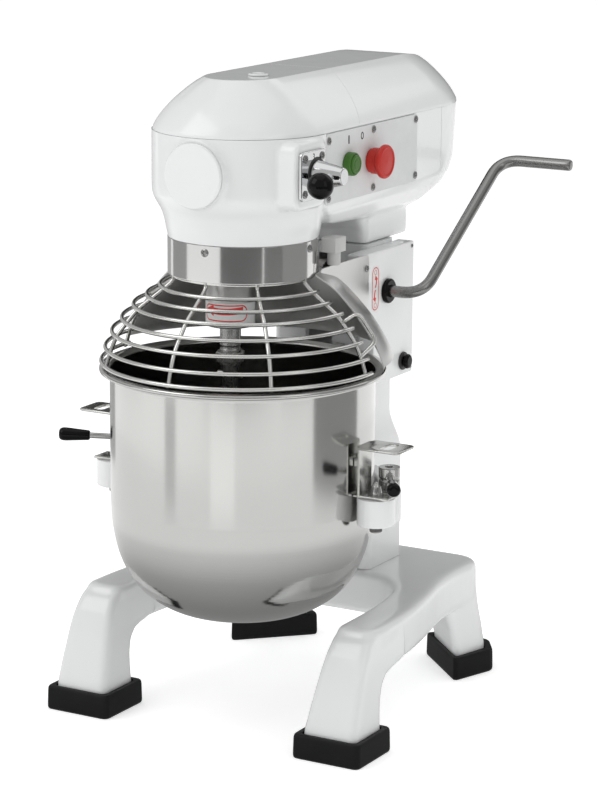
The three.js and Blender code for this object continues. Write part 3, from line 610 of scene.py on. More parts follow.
def softened(node: str, width: float = 0.8, steps: int = 2, sharp: float = 35.0) -> bpy.types.Object:
    """Copy of a CAD node, merged into one surface, with its sharp edges bevelled.

    Args:
        node: The CAD node.
        width: Bevel width in millimetres.
        steps: Bevel segments.
        sharp: Edges that turn by more than this many degrees are bevelled.

    Returns:
        The new object, without a parent.
    """
    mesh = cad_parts[node].data.copy()
    mesh.materials.clear()
    work = bmesh.new()
    work.from_mesh(mesh)
    bmesh.ops.remove_doubles(work, verts=work.verts, dist=2e-5)
    bmesh.ops.dissolve_limit(work, angle_limit=math.radians(0.8), verts=work.verts, edges=work.edges)
    for face in work.faces:
        face.smooth = True
    work.to_mesh(mesh)
    work.free()
    for layer in list(mesh.attributes):
        if layer.name == "custom_normal":
            mesh.attributes.remove(layer)
    item = to_object(f"{node}_fine", mesh)
    edge = item.modifiers.new("edge", "BEVEL")
    edge.width, edge.segments, edge.limit_method = width * MILLI, steps, "ANGLE"
    edge.angle_limit, edge.use_clamp_overlap = math.radians(sharp), True
    return settle(item)


# ------------------------------------------------------------------------- shader maths
class Signal:
    """A socket of a material's node tree that takes part in Python expressions."""

    def __init__(self, tree: bpy.types.NodeTree, socket: bpy.types.NodeSocket) -> None:
        """Wraps one output socket."""
        self.tree = tree
        self.socket = socket

    def _math(self, operation: str, other: "Signal | float", swap: bool = False) -> "Signal":
        """Adds a Math node of this signal and another value, in either order."""
        node = self.tree.nodes.new("ShaderNodeMath")
        node.operation = operation
        for socket, value in zip(node.inputs, (other, self) if swap else (self, other)):
            feed(self.tree, socket, value)
        return Signal(self.tree, node.outputs[0])

    def __add__(self, other: "Signal | float") -> "Signal":
        """Sum."""
        return self._math("ADD", other)

    def __radd__(self, other: float) -> "Signal":
        """Sum with a number in front."""
        return self._math("ADD", other, swap=True)

    def __sub__(self, other: "Signal | float") -> "Signal":
        """Difference."""
        return self._math("SUBTRACT", other)

    def __rsub__(self, other: float) -> "Signal":
        """Difference from a number."""
        return self._math("SUBTRACT", other, swap=True)

    def __mul__(self, other: "Signal | float") -> "Signal":
        """Product."""
        return self._math("MULTIPLY", other)

    def __rmul__(self, other: float) -> "Signal":
        """Product with a number in front."""
        return self._math("MULTIPLY", other, swap=True)

    def __pow__(self, other: "Signal | float") -> "Signal":
        """Power."""
        return self._math("POWER", other)

    def angle_to(self, other: "Signal") -> "Signal":
        """Angle of the point (other, self) about the origin, in radians."""
        return self._math("ARCTAN2", other)

    def at_least(self, other: "Signal | float") -> "Signal":
        """The larger of two."""
        return self._math("MAXIMUM", other)

    def at_most(self, other: "Signal | float") -> "Signal":
        """The smaller of two."""
        return self._math("MINIMUM", other)


def feed(tree: bpy.types.NodeTree, socket: bpy.types.NodeSocket, value: object) -> None:
    """Links a signal to a socket, or sets the socket's own value."""
    if isinstance(value, Signal):
        tree.links.new(value.socket, socket)
    else:
        socket.default_value = value


class Bench:
    """Where one material is put together."""

    def __init__(self, name: str) -> None:
        """Starts a material with its shader and output."""
        self.material = bpy.data.materials.new(name)
        self.material.use_nodes = True
        self.tree = self.material.node_tree
        self.tree.nodes.clear()
        self.shader = self.tree.nodes.new("ShaderNodeBsdfPrincipled")
        end = self.tree.nodes.new("ShaderNodeOutputMaterial")
        self.tree.links.new(self.shader.outputs["BSDF"], end.inputs["Surface"])

    def node(self, kind: str, settings: dict[str, object] | None = None,
             sockets: dict[str | int, object] | None = None, output: str | int = 0) -> Signal:
        """Adds a node.

        Args:
            kind: The node's type.
            settings: Its settings, set first.
            sockets: Values or signals for its inputs, by name or number.
            output: Which output is wanted.

        Returns:
            The output as a signal.
        """
        made = self.tree.nodes.new(kind)
        for key, value in (settings or {}).items():
            setattr(made, key, value)
        for key, value in (sockets or {}).items():
            feed(self.tree, made.inputs[key], value)
        return Signal(self.tree, made.outputs[output])

    def place(self) -> Signal:
        """Object coordinates, in metres."""
        return self.node("ShaderNodeTexCoord", output="Object")

    def parts_of(self, vector: Signal) -> tuple[Signal, Signal, Signal]:
        """The three numbers of a vector."""
        first = self.node("ShaderNodeSeparateXYZ", sockets={0: vector})
        outputs = first.socket.node.outputs
        return tuple(Signal(self.tree, outputs[k]) for k in range(3))

    def vector(self, x: "Signal | float", y: "Signal | float", z: "Signal | float") -> Signal:
        """A vector of three numbers."""
        return self.node("ShaderNodeCombineXYZ", sockets={0: x, 1: y, 2: z})

    def noise(self, vector: Signal, scale: float, detail: float = 3.0, rough: float = 0.55) -> Signal:
        """Fractal noise of about 0 to 1."""
        return self.node("ShaderNodeTexNoise", sockets={
            "Vector": vector, "Scale": scale, "Detail": detail, "Roughness": rough})

    def blend(self, share: "Signal | float", low: Sequence[float], high: Sequence[float]) -> Signal:
        """Colour between two, by a share of 0 to 1."""
        made = self.node("ShaderNodeMix", {"data_type": "RGBA"}, {0: share}, output=2)
        node = made.socket.node
        feed(self.tree, node.inputs[6], (*low[:3], 1.0))
        feed(self.tree, node.inputs[7], (*high[:3], 1.0))
        return made

    def bump(self, height: Signal, strength: float, depth: float) -> Signal:
        """Normal of a height field, with its depth in metres."""
        return self.node("ShaderNodeBump", sockets={
            "Strength": strength, "Distance": depth, "Height": height})

    def finish(self, **values: object) -> bpy.types.Material:
        """Feeds the shader, by socket names with _ for a space, and gives the material."""
        for key, value in values.items():
            feed(self.tree, self.shader.inputs[key.replace("_", " ")], value)
        return self.material


# ------------------------------------------------------------------------- finishes
class Grain(Enum):
    """How the marks of polishing run on a metal."""

    TURNED = "round the bowl axis"
    LEVEL = "level along X and Y"
    NONE = "polished without marks"


def tone(colour: Sequence[float], factor: float) -> tuple[float, float, float]:
    """A colour made lighter or darker by a factor."""
    return tuple(min(1.0, channel * factor) for channel in colour[:3])


@dataclass(frozen=True)
class Enamel:
    """Gloss paint over a casting: faint orange peel, uneven gloss and a little grime."""

    name: str
    colour: tuple[float, float, float]
    roughness: float = 0.24
    peel: float = 0.05

    def material(self) -> bpy.types.Material:
        """The painted material."""
        bench = Bench(self.name)
        place = bench.place()
        broad = bench.noise(place, 7.0, 2.0)
        handled = bench.noise(place, 38.0, 4.0, 0.6)
        peel = bench.noise(place, 420.0, 2.0, 0.45)
        colour = bench.blend(broad * 0.7 + handled * 0.3, tone(self.colour, 0.968), tone(self.colour, 1.012))
        return bench.finish(
            Base_Color=colour,
            Roughness=self.roughness - 0.05 + handled * 0.06 + broad * 0.05,
            Normal=bench.bump(peel, self.peel, 0.0004),
            Coat_Weight=0.35, Coat_Roughness=0.08, Specular_IOR_Level=0.5)


@dataclass(frozen=True)
class Metal:
    """Bare metal with its polishing marks."""

    name: str
    colour: tuple[float, float, float]
    roughness: float
    grain: Grain = Grain.NONE
    pitch: float = 1400.0
    marks: float = 0.08
    unevenness: float = 0.06

    def material(self) -> bpy.types.Material:
        """The metal material."""
        bench = Bench(self.name)
        place = bench.place()
        x, y, z = bench.parts_of(place)
        if self.grain is Grain.TURNED:
            across, along = x - float(ORIGIN[0]) * MILLI, y - float(ORIGIN[1]) * MILLI
            reach = (across ** 2.0 + along ** 2.0) ** 0.5
            lines = bench.vector(along.angle_to(across) * 2.2, z * self.pitch, reach * self.pitch)
        elif self.grain is Grain.LEVEL:
            lines = bench.vector(x * 9.0, y * 9.0, z * self.pitch)
        else:
            lines = bench.vector(x * 160.0, y * 160.0, z * 160.0)
        brushed = bench.noise(lines, 1.0, 3.0, 0.6)
        smear = bench.noise(place, 16.0, 3.0, 0.6)
        return bench.finish(
            Base_Color=bench.blend(brushed * 0.45 + smear * 0.55, tone(self.colour, 0.95), tone(self.colour, 1.04)),
            Metallic=1.0,
            Roughness=(self.roughness - self.unevenness * 0.5) + brushed * self.marks + smear * self.unevenness,
            Normal=bench.bump(brushed, 0.015 if self.grain is not Grain.NONE else 0.006, 0.0001))


@dataclass(frozen=True)
class Moulded:
    """Moulded plastic or rubber, with a fine skin and dust that settles on it."""

    name: str
    colour: tuple[float, float, float]
    roughness: float = 0.4
    skin: float = 0.12
    dust: float = 0.05
    coat: float = 0.0
    shine: float = 0.5

    def material(self) -> bpy.types.Material:
        """The moulded material."""
        bench = Bench(self.name)
        place = bench.place()
        fine = bench.noise(place, 900.0, 3.0, 0.6)
        cloud = bench.noise(place, 45.0, 4.0, 0.65)
        dusty = [channel + self.dust * 0.35 for channel in tone(self.colour, 1.05)]
        return bench.finish(
            Base_Color=bench.blend(cloud, tone(self.colour, 0.9), dusty),
            Roughness=self.roughness - 0.05 + cloud * 0.1,
            Normal=bench.bump(fine, self.skin, 0.0003),
            Coat_Weight=self.coat, Coat_Roughness=0.04, Specular_IOR_Level=self.shine)


@dataclass(frozen=True)
class Casting:
    """Bare or primed casting inside the head: pitted and mottled."""

    name: str
    colour: tuple[float, float, float]
    roughness: float = 0.6
    metallic: float = 0.8

    def material(self) -> bpy.types.Material:
        """The cast material."""
        bench = Bench(self.name)
        place = bench.place()
        pits = bench.noise(place, 260.0, 5.0, 0.7)
        stain = bench.noise(place, 22.0, 4.0, 0.6)
        return bench.finish(
            Base_Color=bench.blend(stain, tone(self.colour, 0.72), tone(self.colour, 1.15)),
            Metallic=self.metallic, Roughness=self.roughness - 0.1 + pits * 0.2,
            Normal=bench.bump(pits, 0.3, 0.0006))


@dataclass(frozen=True)
class Ink:
    """Printed ink or sticker film, slightly uneven in its cover."""

    name: str
    colour: tuple[float, float, float]
    roughness: float = 0.45

    def material(self) -> bpy.types.Material:
        """The printed material."""
        bench = Bench(self.name)
        cover = bench.noise(bench.place(), 320.0, 3.0, 0.6)
        return bench.finish(
            Base_Color=bench.blend(cover, tone(self.colour, 0.9), tone(self.colour, 1.08)),
            Roughness=self.roughness - 0.05 + cover * 0.1,
            Normal=bench.bump(cover, 0.03, 0.0001))


@dataclass(frozen=True)
class Gloss:
    """A finish and the record's slot that it stands for."""

    finish: Enamel | Metal | Moulded | Casting | Ink
    slot: str


class Kit(Enum):
    """Every finish on the machine."""

    WHITE = Gloss(Enamel("white_enamel", (0.80, 0.81, 0.81)), "white_paint")
    BOWL = Gloss(Metal("bowl_steel", (0.56, 0.56, 0.545), 0.11, Grain.TURNED, 700.0, 0.05, 0.04), "polished_steel")
    COLLAR = Gloss(Metal("collar_steel", (0.64, 0.64, 0.63), 0.10, Grain.TURNED, 2200.0, 0.05), "polished_steel")
    SHEET = Gloss(Metal("shield_steel", (0.70, 0.70, 0.69), 0.26, Grain.TURNED, 900.0), "polished_steel")
    PLATE = Gloss(Metal("ear_steel", (0.62, 0.62, 0.60), 0.20, Grain.LEVEL, 1600.0), "polished_steel")
    SATIN = Gloss(Metal("crank_steel", (0.27, 0.27, 0.265), 0.2, marks=0.12), "satin_steel")
    WIRE = Gloss(Metal("guard_wire", (0.66, 0.66, 0.64), 0.17), "wire_steel")
    CHROME = Gloss(Metal("bright_chrome", (0.64, 0.645, 0.65), 0.06, marks=0.03, unevenness=0.03), "chrome")
    NOSE = Gloss(Metal("carrier_steel", (0.62, 0.62, 0.61), 0.3, Grain.TURNED, 1200.0, 0.08), "polished_steel")
    NUT = Gloss(Metal("nut_steel", (0.13, 0.13, 0.128), 0.3, marks=0.1), "gear_steel")
    CLAMP = Gloss(Metal("clamp_steel", (0.52, 0.52, 0.51), 0.2, marks=0.1), "chrome")
    SCREW = Gloss(Metal("screw_steel", (0.34, 0.34, 0.335), 0.2, marks=0.06), "chrome")
    GEAR = Gloss(Metal("gear_metal", (0.30, 0.29, 0.28), 0.34, Grain.TURNED, 1800.0, 0.14), "gear_steel")
    SHAFT = Gloss(Metal("beater_shaft_steel", (0.38, 0.38, 0.37), 0.24, marks=0.06), "chrome")
    BRONZE = Gloss(Metal("gear_bronze", (0.50, 0.30, 0.12), 0.3, Grain.TURNED, 1400.0, 0.12), "bronze")
    IRON = Gloss(Casting("motor_iron", (0.24, 0.25, 0.255)), "cast_iron")
    RUBBER = Gloss(Moulded("foot_rubber", (0.006, 0.006, 0.0065), 0.5, 0.22, 0.012, shine=0.2), "rubber")
    BLACK = Gloss(Moulded("gloss_black", (0.003, 0.003, 0.0035), 0.1, 0.01, 0.004, shine=0.14), "black_plastic")
    DARK = Gloss(Moulded("dark_moulding", (0.022, 0.022, 0.023), 0.45, 0.18, 0.04), "dark_plastic")
    PANEL = Gloss(Moulded("panel_film", (0.66, 0.67, 0.67), 0.34, 0.03, 0.0), "panel_grey")
    SWITCH = Gloss(Moulded("switch_body", (0.52, 0.52, 0.51), 0.42, 0.1, 0.0), "panel_grey")
    GREEN = Gloss(Moulded("start_green", (0.050, 0.155, 0.018), 0.4, 0.05, 0.006, 0.0, 0.35), "green_plastic")
    RED = Gloss(Moulded("stop_red", (0.52, 0.022, 0.014), 0.4, 0.05, 0.006, 0.0, 0.35), "red_plastic")
    RED_INK = Gloss(Ink("red_print", (0.70, 0.03, 0.025)), "red_plastic")
    BLACK_INK = Gloss(Ink("black_print", (0.02, 0.02, 0.022)), "black_plastic")
    FILM = Gloss(Ink("sticker_film", (0.74, 0.75, 0.74), 0.3), "white_paint")


MATERIALS: dict[Kit, bpy.types.Material] = {}


def material_of(kit: Kit) -> bpy.types.Material:
    """The finish's material, made on its first use."""
    if kit not in MATERIALS:
        MATERIALS[kit] = kit.value.finish.material()
    return MATERIALS[kit]


def fit(item: bpy.types.Object, body: str, kit: Kit, replaces: Sequence[str] = (),
        crease: float = CREASE) -> bpy.types.Object:
    """Finishes a piece: shading, material, the body it rides on, and hides the CAD nodes that it stands for.

    Args:
        item: The piece.
        body: The CAD body that it moves with.
        kit: Its finish.
        replaces: CAD nodes that it stands for.
        crease: Edges that turn by more than this many degrees stay sharp.

    Returns:
        The piece.
    """
    mesh = item.data
    mesh.shade_smooth()
    mesh.set_sharp_from_angle(angle=math.radians(crease))
    mesh.materials.clear()
    mesh.materials.append(material_of(kit))
    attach(item, body)
    if replaces:
        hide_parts(*replaces)
    LOG.info("%s rides on %s, %d faces", item.name, body, len(mesh.polygons))
    return item


def piece(name: str, skins: Skin | Sequence[Skin], body: str, kit: Kit,
          replaces: Sequence[str] = (), crease: float = CREASE) -> bpy.types.Object:
    """Makes and finishes a piece of one or more closed surfaces."""
    skins = [skins] if isinstance(skins, Skin) else skins
    return fit(solid(name, joined(skins)), body, kit, replaces, crease)


def dress(node: str, kit: Kit) -> None:
    """Gives a CAD node that stays in sight its finish."""
    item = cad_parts[node]
    if not item.material_slots:
        item.data.materials.append(None)
    for place in item.material_slots:
        place.material = material_of(kit)


def refined(node: str, body: str, kit: Kit, width: float = 0.8, steps: int = 2) -> bpy.types.Object:
    """Stands a bevelled copy of a CAD node in its place."""
    return fit(softened(node, width, steps), body, kit, [node])


# ------------------------------------------------------------------------- studio
def disc_of(reach: Points, sides: int, height: float) -> Skin:
    """Level disc about the row frame's origin: rings at r (cos t, sin t).

    Args:
        reach: Radius of each ring, in metres.
        sides: Steps round a ring.
        height: Its height over the floor, in millimetres.

    Returns:
        The open surface.
    """
    r = reach[:, None] / MILLI
    turn = np.arange(sides) * 2 * np.pi / sides
    loops = np.stack([r * np.cos(turn), r * np.sin(turn), np.full((len(reach), sides), height)], axis=-1)
    return shell(loops - ORIGIN, ends=False).welded()


@dataclass
class Studio:
    """Camera, floor, soft lights and the cards that steel mirrors, in the row frame in metres."""

    azimuth: float = 29.66
    elevation: float = 12.77
    roll: float = 0.43
    lens: float = 132.0
    distance: float = 3.536
    aim: tuple[float, float, float] = (0.0730, -0.0923, 0.4037)
    lift: float = -0.0046
    sensor: float = 36.0
    room_light: float = 0.58
    floor_glow: float = 0.5
    light_aim: tuple[float, float, float] = (0.0, 0.0, 0.42)

    def back(self, azimuth: float, elevation: float) -> Vector:
        """Unit vector from the machine towards a place at an azimuth and elevation in degrees."""
        a, e = math.radians(azimuth), math.radians(elevation)
        return Vector((math.sin(a) * math.cos(e), -math.cos(a) * math.cos(e), math.sin(e)))

    def camera(self) -> None:
        """Makes the camera at its measured angle and distance."""
        lens = bpy.data.cameras.new("camera")
        lens.lens, lens.sensor_width, lens.shift_y = self.lens, self.sensor, self.lift
        item = to_object("camera", lens)
        back = self.back(self.azimuth, self.elevation)
        item.location = Vector(self.aim) + back * self.distance
        turn = (-back).to_track_quat("-Z", "Y") @ Matrix.Rotation(math.radians(self.roll), 3, "Z").to_quaternion()
        item.rotation_euler = turn.to_euler()
        bpy.context.scene.camera = item

    def softbox(self, name: str, azimuth: float, elevation: float, away: float,
                size: Pair, watts: float) -> None:
        """Adds a rectangular light that faces the machine."""
        light = bpy.data.lights.new(name, "AREA")
        light.shape, light.size, light.size_y, light.energy = "RECTANGLE", size[0], size[1], watts
        item = to_object(name, light)
        back = self.back(azimuth, elevation)
        item.location = Vector(self.light_aim) + back * away
        item.rotation_euler = (-back).to_track_quat("-Z", "Y").to_euler()

    def card(self, name: str, azimuth: float, away: float, width: float, heights: Pair, shade: float) -> None:
        """Stands an upright card that only mirrors can see.

        Args:
            name: Object name.
            azimuth: Where it stands, in degrees round the machine.
            away: How far away, in metres.
            width: Its width.
            heights: Its lower and upper edge.
            shade: Its brightness.
        """
        middle = self.back(azimuth, 0.0) * away
        across = Vector((math.cos(math.radians(azimuth)), math.sin(math.radians(azimuth)), 0.0)) * width / 2
        corners = [middle - across, middle + across]
        points = [(corners[k].x, corners[k].y, heights[h]) for k, h in ((0, 0), (1, 0), (1, 1), (0, 1))]
        mesh = bpy.data.meshes.new(name)
        mesh.from_pydata(points, [], [(0, 1, 2, 3)])
        item = to_object(name, mesh)
        bench = Bench(name)
        bench.finish(Base_Color=(0, 0, 0, 1), Roughness=1.0, Specular_IOR_Level=0.0,
                     Emission_Color=(1, 1, 1, 1), Emission_Strength=shade)
        mesh.materials.append(bench.material)
        self.mirror_only(item)

    def floor(self) -> None:
        """Lays a plain pale floor out to the horizon, as rings of growing radius."""
        item = solid("floor", disc_of(np.array([0.0, 0.6, 1.5, 4.0, 12.0, 60.0]), 64, 0.0))
        bench = Bench("pale_floor")
        mottle = bench.noise(bench.place(), 3.0, 2.0)
        item.data.materials.append(bench.finish(
            Base_Color=bench.blend(mottle, (0.90, 0.90, 0.90), (0.93, 0.93, 0.93)),
            Roughness=0.7, Specular_IOR_Level=0.15,
            Emission_Color=(1.0, 1.0, 1.0, 1.0), Emission_Strength=self.floor_glow))

    def mirror_floor(self) -> None:
        """Lays a grey disc that only mirrors see. At a distance r its brightness goes up by a smooth
        step, u^2 (3 - 2 u), where u is (r - near) / spread held between 0 and 1."""
        near, spread = 0.16, 0.75
        item = solid("mirror_floor", disc_of(np.linspace(0.0, 1.6, 9), 96, 2.0))
        bench = Bench("mirror_floor")
        x, y, _ = bench.parts_of(bench.place())
        far = (((x ** 2.0 + y ** 2.0) ** 0.5 - near) * (1.0 / spread)).at_least(0.0).at_most(1.0)
        ease = far * far * (3.0 - far * 2.0)
        item.data.materials.append(bench.finish(
            Base_Color=(0, 0, 0, 1), Roughness=1.0, Specular_IOR_Level=0.0,
            Emission_Color=bench.blend(ease, (0.30, 0.30, 0.30), (1.05, 1.05, 1.05)), Emission_Strength=1.0))
        self.mirror_only(item)

    @staticmethod
    def mirror_only(item: bpy.types.Object) -> None:
        """Hides a stage piece from everything but mirrors."""
        item.visible_camera = item.visible_diffuse = item.visible_shadow = False
        item.visible_transmission = item.visible_volume_scatter = False

    def world(self) -> None:
        """Fills the room with even pale light."""
        room = bpy.data.worlds.new("room")
        bpy.context.scene.world = room
        room.use_nodes = True
        light = room.node_tree.nodes["Background"]
        light.inputs["Color"].default_value = (1.0, 1.0, 1.0, 1.0)
        light.inputs["Strength"].default_value = self.room_light

    def build(self) -> None:
        """Makes the whole studio."""
        self.floor()
        self.world()
        self.softbox("key", -38.0, 42.0, 2.6, (1.6, 1.6), 15.0)
        self.softbox("fill", 72.0, 26.0, 3.0, (1.0, 2.0), 4.0)
        self.softbox("top", 10.0, 86.0, 2.4, (2.2, 2.2), 8.0)
        self.softbox("rear", 170.0, 40.0, 3.0, (2.0, 1.2), 6.0)
        self.card("card_right", 112.0, 1.25, 1.25, (0.003, 1.3), 0.34)
        self.card("card_rear_left", -118.0, 1.3, 0.7, (0.003, 1.3), 0.5)
        self.card("card_left", -27.0, 1.35, 0.22, (0.003, 0.2), 0.75)
        self.card("card_bright", 14.0, 1.35, 0.42, (0.003, 0.2), 1.35)
        self.card("card_front", 27.0, 2.0, 2.3, (0.07, 0.7), 0.16)
        self.card("card_front_right", 74.0, 2.0, 1.1, (0.07, 0.7), 0.22)
        self.card("card_front_left", -78.0, 2.0, 1.4, (0.07, 0.7), 0.4)
        self.card("card_behind", 209.0, 2.3, 3.4, (0.45, 2.3), 0.04)
        self.mirror_floor()
        bpy.context.scene.view_settings.view_transform = "Standard"


# ------------------------------------------------------------------------- base and column
@dataclass
class Base:
    """Cast base on four legs, with a rubber cap under each."""

    top: float = 150.0
    under: float = 94.0
    edge: float = 9.0
    foot_height: float = 30.0
    foot_floor: float = 14.0
    clearance: float = 0.4
    voxel: float = 2.6
    front_foot: tuple[Pair, ...] = ((139, -97), (212, -97), (212, -28), (139, -28))
    rear_foot: tuple[Pair, ...] = ((163, 262), (178, 318), (160, 343), (112, 346), (92, 334))
    rear_top: tuple[Pair, ...] = ((160, 225), (171, 262), (172, 304), (150, 322), (70, 310))
    half_plan: tuple[Pair, ...] = (
        (86, 177), (108, 169), (126, 152), (138, 132), (147, 90), (151, 40), (152, -10), (152, -46),
        (206, -46), (206, 10), (201, 70), (190, 130), (176, 190), (171, 240), (173, 290), (168, 308), (150, 322))

    def deck(self) -> Skin:
        """The arched plate: the half plan and its mirror image, with rounded corners."""
        half = np.asarray(self.half_plan, float)
        plan = np.concatenate([half, half[::-1] * [-1.0, 1.0]])
        return plate(rounded(plan, 22.0, 6, closed=True), self.under, self.top, self.edge)

    def front_leg(self) -> Skin:
        """Right front leg: rounded rectangles whose four sides are functions of the height."""
        z = np.linspace(self.foot_floor + self.clearance, self.top - 0.5, 40)
        front = np.interp(z, [14, 34, 62, 96, 122, 138, 147, 150], [-97, -97, -88, -76, -64, -52, -36, -18])
        back = np.interp(z, [14, 40, 62, 80, 90, 94, 100, 150], [-28, -28, -26, -20, -10, 4, 40, 44])
        outer = np.interp(z, [14, 34, 110, 140, 150], [212, 212, 208, 204, 197])
        inner = np.interp(z, [14, 34, 100, 142, 150], [139, 140, 148, 154, 162])
        loops = [np.column_stack([round_rect(((i + o) / 2, (f + b) / 2), (o - i, b - f), 9.0),
                                  np.full(28, h)]) for h, f, b, o, i in zip(z, front, back, outer, inner)]
        return shell(np.array(loops))

    def rear_leg(self) -> Skin:
        """Right rear leg: the foot's outline passes over into the top's by a share of the height."""
        z = np.linspace(self.foot_floor + self.clearance, self.top - 10.0, 30)
        share = np.interp(z, [14, 32, 62, 92, 118, 140], [0, 0, 0.22, 0.6, 0.9, 1.0])[:, None, None]
        foot, top = np.asarray(self.rear_foot, float), np.asarray(self.rear_top, float)
        plans = foot + (top - foot) * share
        return shell(np.array([np.column_stack([rounded(plan, 14.0, 6, closed=True), np.full(30, height)])
                               for plan, height in zip(plans, z)]))

    def foot(self, name: str, corners: tuple[Pair, ...], mirror: bool) -> None:
        """Makes a rubber cap: the leg's outline grown by an amount for each height, and its pocket.

        Args:
            name: The CAD node that it stands for.
            corners: The leg's outline at its foot.
            mirror: Whether it is on the left.
        """
        plan = np.asarray(corners, float)
        middle = plan.mean(axis=0)
        out = (plan - middle) / np.linalg.norm(plan - middle, axis=1, keepdims=True)
        top = self.foot_height
        levels = ((0.0, 9.4), (0.3, 10.6), (1.2, 11.4), (3.0, 11.9), (5.0, 12.0), (top - 6.0, 11.5),
                  (top - 3.0, 11.2), (top - 1.0, 10.2), (top - 0.2, 9.2), (top, 8.2), (top, 1.4),
                  (top - 0.4, 0.9), (self.foot_floor, 0.9))
        loops = np.array([np.column_stack([rounded(plan + out * grow, 8.0, 7, closed=True),
                                           np.full(7 * len(plan), height)]) for height, grow in levels])
        skin = shell(loops)
        piece(f"{name}_cap", skin.mirrored() if mirror else skin, FRAME_BODY, Kit.RUBBER, [name])

    def build(self) -> None:
        """Makes the base and its feet."""
        legs = [self.front_leg().outward(), self.rear_leg().outward()]
        base = cast("base_cast", [self.deck(), *legs, *[leg.mirrored() for leg in legs]], self.voxel, 10)
        carve(base, block((-120, 196, self.under - 2), (120, 300, self.top - 14)),
              block((-40, 206, self.top - 20), (40, 250, self.top + 4)))
        fit(base, FRAME_BODY, Kit.WHITE, ["base_casting"], 40.0)
        for side, mirror in (("right", False), ("left", True)):
            self.foot(f"foot_front_{side}", self.front_foot, mirror)
            self.foot(f"foot_rear_{side}", self.rear_foot, mirror)


